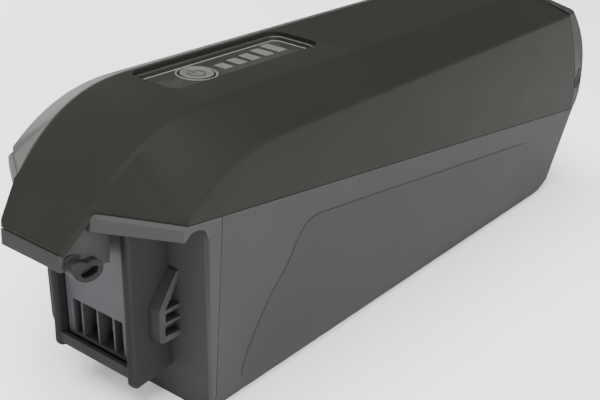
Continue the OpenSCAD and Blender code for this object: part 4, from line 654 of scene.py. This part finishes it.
def make_shell_posts():
    """Screw posts with a seat for the head, and the well of the lock's bolt."""
    posts = (
        ("front_posts", FRONT_SCREW, 2.5, 75, 81), ("rear_posts", REAR_SCREW, 2.5, 42.2, 48.2),
        ("cap_posts", CAP_SCREW, 30, 40.5, 46.5), ("floor_posts", FLOOR_SCREW, 2.5, 2.4, 4.6))
    for name, (x, y), low, seat, top in posts:
        for side in (-1, 1):
            spot = (x, side * y)
            post = bore("%s_%s" % (name, side_word(side)), spot, 3.7, low, top, 40)
            combine(post, bore("bore", spot, HEAD_R, DEEP, seat))
            combine(post, bore("shank", spot, SHANK_R, DEEP, top + 5, 24))
            if name == "cap_posts":
                past = [(350.4, 20), (420, 20), (420, 60), (372, 60)]
                combine(post, prism("past_slope", past, "y", -OUTSIDE, OUTSIDE))
            finish(soften(post, 0.2), SHELL, "shell_plastic", "lower_shell")
    well = bore("lock_well", (LOCK_X, 0), 8.6, 2.5, 14, 48)
    combine(well, bore("bore", (LOCK_X, 0), LOCK_R, DEEP, LOCK_TOP, 48))
    finish(soften(well, 0.3), SHELL, "shell_plastic", "lower_shell")


def make_side_panels():
    """Thin raised panels on the shell's sides."""
    outline = [(61.8, 7.7), (66.8, 21), (79, 39.5), (88.9, 48.5), (94.6, 58), (100, 63.8),
               (107, 65.3), (294, 42.4), (303, 40.9), (311.7, 29.8), (321, 17.8), (328.5, 7.7)]
    for side in (-1, 1):
        low, high = across(side, HALF - 1, HALF + 0.4)
        skin = prism("side_panel_%s" % side_word(side), eased(outline, 6), "y", low, high)
        finish(soften(skin, 0.3, angle=50), SHELL, "shell_plastic", "lower_shell")


# end cap

def leaning_ring(z, x_back, half, r, shift=0.0):
    """Level ring of the end wall, open to the rear, with its two front corners rounded."""
    x = wall_front(z) + shift
    corners = arc(x + r, -half + r, r, 270, 180, 10) + arc(x + r, half - r, r, 180, 90, 10)
    return [(a, b, z) for a, b in [(x_back, -half)] + corners + [(x_back, half)]]


def make_lip_cuts(roof):
    """Cuts the slanted lip just under the cover's swept edge, on both sides."""
    outward = Vector((NOSE_HALF - HALF, SWEEP_X - NOSE_X)).normalized()
    start, end = Vector((NOSE_X, NOSE_HALF)), Vector((SWEEP_X, HALF))
    run = (end - start).normalized() * 6
    profile = ((-1.9, 0.3), (0.35, -1.7), (3, -1.7), (3, 3))
    for side in (-1, 1):
        points = []
        for where in (start - run, end + run):
            for out, up in profile:
                spot = where + outward * out
                points.append((spot.x, side * spot.y, under_split(where.x) + up))
        combine(roof, loft("lip_cut", [points[:4], points[4:]]))


def make_roof():
    """Front roof that the cover's hood rests on, with an arch at the top of each niche."""
    plan = [(NOSE_X, -NOSE_HALF), (SWEEP_X, -HALF), (END_SEAM_X, -HALF), (END_SEAM_X, HALF),
            (SWEEP_X, HALF), (NOSE_X, NOSE_HALF)]
    roof = prism("front_roof", plan, "z", 80.8, 100)
    inner = [(13, -20), (30.2, -44), (60, -44), (60, 44), (30.2, 44), (13, 20)]
    combine(roof, prism("inner", inner, "z", 70, 83.4))
    rising = [(5, 70), (5, 82.7), (SWEEP_X, 80.9), (SWEEP_X, 70)]
    combine(roof, prism("rising_foot", rising, "y", -OUTSIDE, OUTSIDE))
    gap = [(30, 70), (30, 80.9), (32.5, 83.2), (60, 83.2), (60, 70)]
    arch = arc(36, 78, 5.2, 90, 0, 10) + [(45, 78), (45, 84), (36, 84)]
    for side in (-1, 1):
        combine(roof, prism("side_gap", gap, "y", *across(side, 43.9, OUTSIDE)))
        combine(roof, prism("niche_arch", arch, "y", *across(side, HALF - 2.4, HALF)), "UNION")
    combine(roof, bar("behind", 43.9, 60, -41, 41, 70, 80.9))
    make_lip_cuts(roof)
    return roof


def make_end_cap():
    wall = ((0, FOOT_HALF), (FOOT_TOP, HALF), (100, HALF))
    cap = loft("end_wall", [leaning_ring(z, 60, half, 1.9) for z, half in wall])
    combine(cap, bar("back", END_SEAM_X, 80, -OUTSIDE, OUTSIDE, -10, TALL))
    combine(cap, loft("hollow", [leaning_ring(z, 80, 41, 1, 3) for z in (4.6, 80.9)]))
    combine(cap, bar("neck_hole", 30, 60, -18.5, 10.5, 27.7, 36.3))
    combine(cap, make_roof(), "UNION")
    combine(cap, above_split())
    soften(cap, 0.4)
    finish(cap, SHELL, "shell_plastic", "end_cap")


def make_nose():
    """Open-bottomed nose under the beak."""
    side = [(0.5, 68.8), (0.5, 75.0), (0.9, 75.4), (1.9, 74.72), (13.0, 88.55), (14.2, 87.8),
            (22, 86), (22, 65.5)]
    nose = prism("nose_box", side, "y", -25, 25)
    plan = [(-1, -15.1), (10.7, -17.3), (40, -17.3), (40, 17.3), (10.7, 17.3), (-1, 15.1)]
    combine(nose, prism("nose_plan", plan, "z", 50, 100), "INTERSECT")
    under = [(3.7, 60), (3.7, 73), (13, 84.5), (20, 84.5), (20, 60)]
    combine(nose, prism("under", under, "y", -15.2, 15.2))
    soften(nose, 0.3)
    finish(nose, SHELL, "shell_plastic", "end_cap")


def make_lug():
    """Eyelet beside the nose: two lobes with a dent between them and a slot right through."""
    outline = [(1.5, 71.3), (2.5, 72.6), (4.5, 73.1), (6.8, 72.5), (8.8, 71.2), (11.4, 71.7), (13.7, 71.2),
               (15.7, 69.4), (16.5, 67.0), (15.6, 64.8), (12.2, 63.2), (8.1, 63.7), (4.2, 66.0), (2.1, 69.4)]
    lug = prism("eye_lug", eased(outline, 1.4), "y", -20.2, -15.5)
    slot = [(5.8, 68.1), (7.0, 69.1), (10.3, 69.2), (13.0, 68.8),
            (14.0, 67.8), (13.3, 66.0), (9.5, 65.5), (6.9, 66.1)]
    combine(lug, prism("slot", eased(slot, 0.8), "y", -30, -16.2))
    soften(lug, 0.35, 3)
    # The lug and its boss take the shell's plastic darkened as painted shade from the beak.
    finish(lug, SHELL_PAINTED_SHADE, "shell_plastic", "end_cap")
    root = [(1.8, 73.7), (4.5, 74.8), (9.7, 73.8), (13.7, 71.7), (18.5, 67.2),
            (19.0, 63.8), (14.8, 62.0), (9.4, 63.1), (3.6, 67.7)]
    boss = prism("eye_lug_boss", eased(root, 1.8), "y", -16.9, -14.9)
    finish(soften(boss, 0.6, 4), SHELL_PAINTED_SHADE, "shell_plastic", "end_cap")


def make_block():
    """U-shaped frame round the socket."""
    # The posts, the crossbar and the floor take the shell's plastic darkened as painted shade from the roof.
    for name, low, high, foot in (("near", -26.5, -22.3, 12.7), ("far", 14.2, 17.8, 14.2)):
        x0 = block_front(foot) - 0.7
        corner = arc(x0 + 3, foot + 3, 3, 180, 270, 8)
        outline = [(block_front(84), 84), (block_front(30) - 0.1, 30)] + corner
        outline += [(wall_front(14.5) + 1, 15), (wall_front(84) + 1, 84)]
        post = prism("block_side_%s" % name, outline, "y", low, high)
        finish(soften(post, 1.3, 5), SHELL_PAINTED_SHADE, "shell_plastic", "end_cap")
    section = [(block_front(z) + depth, z) for depth, z in ((0.2, 17), (2.4, 17), (2.4, 21.6), (0.2, 21.6))]
    cross = prism("block_crossbar", section, "y", -24.5, 15.5)
    finish(soften(cross, 0.4), SHELL_PAINTED_SHADE, "shell_plastic", "end_cap")
    # Floor plate behind the crossbar, a dark sheet that closes the gap there so it reads as shade; it takes
    # the darker painted-shade plastic.
    floor = bar("block_shade_filler", block_front(16) + 1.4, wall_front(16) + 1, -23, 15, 15.4, 17.4)
    finish(soften(floor, 0.2), SHELL_PAINTED_SHADE, "shell_plastic", "end_cap")


def make_hook(side, low):
    """Guide hook, its outer side opened by three pockets with ribs between them."""
    outline = eased([(44.6, 59.8), (41.3, 59.4), (32.6, 45.8), (33.2, 32.4), (35.2, 31.2), (45.6, 30.9)], 0.8)
    hook = prism("guide_hook_%s" % ("near" if side < 0 else "far"), outline, "y", low, low + 4.7)
    y0, y1 = (low - 2, low + 4) if side < 0 else (low + 0.7, low + 8)
    inner = [(46, 58.6), (42.6, 56.2), (36.0, 45.4), (36.0, 33.9), (48, 33.1)]
    rows = ((30, 38.3), (39.6, 43.6), (45.2, 60))
    for bottom, top in rows:
        tool = prism("pocket", eased(inner, 0.7), "y", y0, y1)
        combine(tool, bar("row", 20, 60, -OUTSIDE, OUTSIDE, bottom, top), "INTERSECT")
        combine(hook, tool)
    soften(hook, 0.35, 3)
    finish(hook, SHELL, "shell_plastic", "end_cap")


# socket

PLATE_Y = -4.5  # middle of the socket's plate, on the near side of the pack's own middle
SLOTS_Y = -4
SLOT_WIDTHS = (4.2, 7.7, 7.7, 4.2)
SLOT_RIB = 1


def socket_face(z, depth=0.0):
    """Leaning face of the socket, or a plane behind it."""
    return block_front(z) + 3.6 + depth


def make_socket():
    plate = [(socket_face(20.9), 20.9), (socket_face(20.9, 3), 20.9),
             (socket_face(83.1, 3), 83.1), (socket_face(83.1), 83.1)]
    front = prism("socket_face", plate, "y", PLATE_Y - 17.5, PLATE_Y + 17.5)
    body = [(socket_face(21.5, 1), 21.5), (wall_front(21.5) - 1.2, 21.5),
            (wall_front(52) - 1.2, 52), (socket_face(52, 1), 52)]
    combine(front, prism("body", body, "y", PLATE_Y - 16.5, PLATE_Y + 16.5), "UNION")
    combine(front, bar("neck", 41, 48.8, -18.2, 10.2, 28, 36), "UNION")
    start = SLOTS_Y - (sum(SLOT_WIDTHS) + SLOT_RIB * (len(SLOT_WIDTHS) - 1)) / 2
    for width in SLOT_WIDTHS:
        combine(front, bar("slot", 20, 42, start, start + width, 22.4, 37.8))
        combine(front, bar("tail", 40, 60, start + 0.5, start + width - 0.5, 31, 32.5))
        start += width + SLOT_RIB
    soften(front, 0.22)
    finish(front, SOCKET, "socket_plastic", "socket_housing")


# rear cap and charge port

def cover_section(inset=0.0):
    """The cover's even section, as an outline across the pack."""
    return [(y, z) for _, y, z in cover_ring(120, 0, inset)]


def port_disc(name, r, low, high, steps=64):
    """Round piece or tool on the charge port's own axis."""
    return prism(name, disc(PORT_X, PORT_Z, r, steps), "y", low, high)


def rear_cap_loft(name, inset=0.0):
    rings = []
    for z in [43 + 1.9 * i for i in range(41)]:
        r = CORNER_R - min(inset, 2.4)
        rings.append(plan_ring(300, rear_edge(z) - inset, HALF - inset, r, z))
    return loft(name, rings)


def make_rear_cap():
    cap = rear_cap_loft("rear_cap_shell")
    seam = [(rear_seam(z) + SEAM, z) for z in [44 + 2.55 * i for i in range(31)]]
    keep = [(seam[0][0], over_split(seam[0][0]))] + [p for p in seam if p[1] > 47]
    keep += [(420, seam[-1][1]), (420, over_split(420))]
    combine(cap, prism("keep", keep, "y", -OUTSIDE, OUTSIDE), "INTERSECT")
    combine(cap, prism("section", cover_section(), "x", 290, 390), "INTERSECT")
    hollow = rear_cap_loft("hollow", WALL)
    combine(hollow, prism("inside", cover_section(WALL), "x", 280, 395), "INTERSECT")
    combine(cap, hollow)
    seat = port_disc("seat", 4.45, -60, -44.35)
    combine(seat, port_disc("bore", 3.45, -60, 0), "UNION")
    combine(seat, bar("hinge_slot", 360.55, 364.25, -60, -43.55, PORT_Z, 70.7), "UNION")
    combine(cap, seat)
    soften(cap, 0.5)
    finish(cap, REAR, "rear_cap_plastic", "rear_cap")


def make_port_sleeve():
    sleeve = port_disc("port_sleeve", 5.1, -43.6, -39.2, 48)
    combine(sleeve, port_disc("bore", 4.35, -60, 0, 48))
    finish(soften(sleeve, 0.2), REAR, "rear_cap_plastic", "rear_cap")
    floor = bar("hinge_floor", 359.5, 365.3, -43.7, -41, 66.8, 72.5)
    finish(soften(floor, 0.2), REAR, "rear_cap_plastic", "rear_cap")


def make_cap_tabs():
    """Tabs inside the rear cap that take its two screws."""
    x, y = CAP_SCREW
    for side in (-1, 1):
        tab = bar("cap_tab_%s" % side_word(side), 351.3, 366.5, side * y - 3.7, side * y + 3.7, 47.5, 53.5)
        combine(tab, bore("bore", (x, side * y), 2.32, 40, 52.5))
        finish(soften(tab, 0.3), REAR, "rear_cap_plastic", "rear_cap")


def make_flap():
    """Rubber flap with its plug, and an arm up to the hinge pin."""
    low, high = 360.9, 363.9
    flap = port_disc("port_flap", 4.1, -46.2, -44.7)
    combine(flap, port_disc("plug", 2.95, -45, -42.4, 40), "UNION")
    combine(flap, bar("arm", low, high, -46.2, -45.0, PORT_Z, HINGE_Z), "UNION")
    combine(flap, prism("knuckle", disc(HINGE_Y, HINGE_Z, 1.15, 24), "x", low, high), "UNION")
    combine(flap, prism("pin_hole", disc(HINGE_Y, HINGE_Z, 0.7, 20), "x", 350, 370))
    combine(flap, port_disc("dimple", 2.7, -50, -45.95, 40))
    soften(flap, 0.25)
    finish(flap, RUBBER, "flap_rubber", "charge_port_flap", body="flap")


make_cover()
make_display_tub()
make_panel()
make_bezel()
make_button_ring()
make_light_bars()
make_button()
make_power_sign()
make_shell()
make_shell_posts()
make_side_panels()
make_end_cap()
make_nose()
make_lug()
make_block()
for hook_side, hook_y in ((-1, -31.2), (1, 17.5)):
    make_hook(hook_side, hook_y)
make_socket()
make_rear_cap()
make_port_sleeve()
make_cap_tabs()
make_flap()


# studio

def make_floor():
    floor_mesh = bpy.data.meshes.new("floor")
    floor_mesh.from_pydata([(-9, -9, 0), (9, -9, 0), (9, 9, 0), (-9, 9, 0)], [], [(0, 1, 2, 3)])
    floor = bpy.data.objects.new("floor", floor_mesh)
    bpy.context.scene.collection.objects.link(floor)
    pale = bpy.data.materials.new("pale floor")
    pale.use_nodes = True
    shader = pale.node_tree.nodes["Principled BSDF"]
    shader.inputs["Base Color"].default_value = (0.93, 0.93, 0.93, 1)
    shader.inputs["Roughness"].default_value = 0.75
    floor_mesh.materials.append(pale)


def make_surroundings():
    """White up to the horizon and dark above it, and dimmer towards the rear."""
    world = bpy.data.worlds.new("studio")
    world.use_nodes = True
    bpy.context.scene.world = world
    nodes, links = world.node_tree.nodes, world.node_tree.links
    where = nodes.new("ShaderNodeTexCoord")
    apart = nodes.new("ShaderNodeSeparateXYZ")
    ramp = nodes.new("ShaderNodeValToRGB")
    links.new(where.outputs["Generated"], apart.inputs["Vector"])
    links.new(apart.outputs["Z"], ramp.inputs["Fac"])
    ramp.color_ramp.elements[0].position = 0.0
    ramp.color_ramp.elements[0].color = (1.0, 1.0, 1.0, 1)
    ramp.color_ramp.elements[1].position = 1.0
    ramp.color_ramp.elements[1].color = (0.20, 0.20, 0.21, 1)
    for place, level in ((0.10, 0.8), (0.22, 0.30), (0.5, 0.20)):
        ramp.color_ramp.elements.new(place).color = (level, level, level * 1.02, 1)
    rear = nodes.new("ShaderNodeVectorMath")
    rear.operation = "DOT_PRODUCT"
    rear.inputs[1].default_value = (0.92, 0.38, 0.0)
    links.new(where.outputs["Generated"], rear.inputs[0])
    fall = nodes.new("ShaderNodeMapRange")
    fall.inputs["From Min"].default_value = -0.5
    fall.inputs["From Max"].default_value = 0.6
    fall.inputs["To Min"].default_value = 1.3
    fall.inputs["To Max"].default_value = 0.45
    links.new(rear.outputs["Value"], fall.inputs["Value"])
    dim = nodes.new("ShaderNodeVectorMath")
    dim.operation = "SCALE"
    links.new(ramp.outputs["Color"], dim.inputs[0])
    links.new(fall.outputs["Result"], dim.inputs["Scale"])
    links.new(dim.outputs["Vector"], nodes["Background"].inputs["Color"])
    nodes["Background"].inputs["Strength"].default_value = 1.7

def place_softbox(name, place, aim_height, size, power):
    """Area lamp that looks at a point above the frame's middle."""
    light = bpy.data.lights.new(name, "AREA")
    light.shape = "RECTANGLE"
    light.size, light.size_y = size
    light.energy = power
    stand = bpy.data.objects.new(name, light)
    stand.location = place
    stand.rotation_euler = (Vector((0, 0, aim_height)) - Vector(place)).to_track_quat("-Z", "Y").to_euler()
    bpy.context.scene.collection.objects.link(stand)


def set_camera():
    lens = bpy.data.cameras.new("camera")
    lens.lens = 63.0
    lens.sensor_width = 36.0
    lens.clip_start = 0.01
    camera = bpy.data.objects.new("camera", lens)
    bpy.context.scene.collection.objects.link(camera)
    bpy.context.scene.camera = camera
    # fitted to the photograph's parallel edges
    forward = Vector((0.7371, 0.5289, -0.4206)).normalized()
    up = Vector((0.3005, 0.301, 0.905)).normalized()
    right = forward.cross(up).normalized()
    up = right.cross(forward)
    place = at(-205.6, -261.5, 246.7)
    camera.matrix_world = Matrix((
        (right.x, up.x, -forward.x, place.x),
        (right.y, up.y, -forward.y, place.y),
        (right.z, up.z, -forward.z, place.z),
        (0, 0, 0, 1)))


make_floor()
make_surroundings()
place_softbox("key_softbox", (-0.45, 0.1, 1.9), 0.03, (2.2, 1.8), 125)
place_softbox("side_softbox", (-0.2, -1.35, 0.35), 0.05, (1.6, 0.6), 40)
place_softbox("far_softbox", (0.1, 1.5, 0.4), 0.05, (1.6, 0.5), 26)
set_camera()
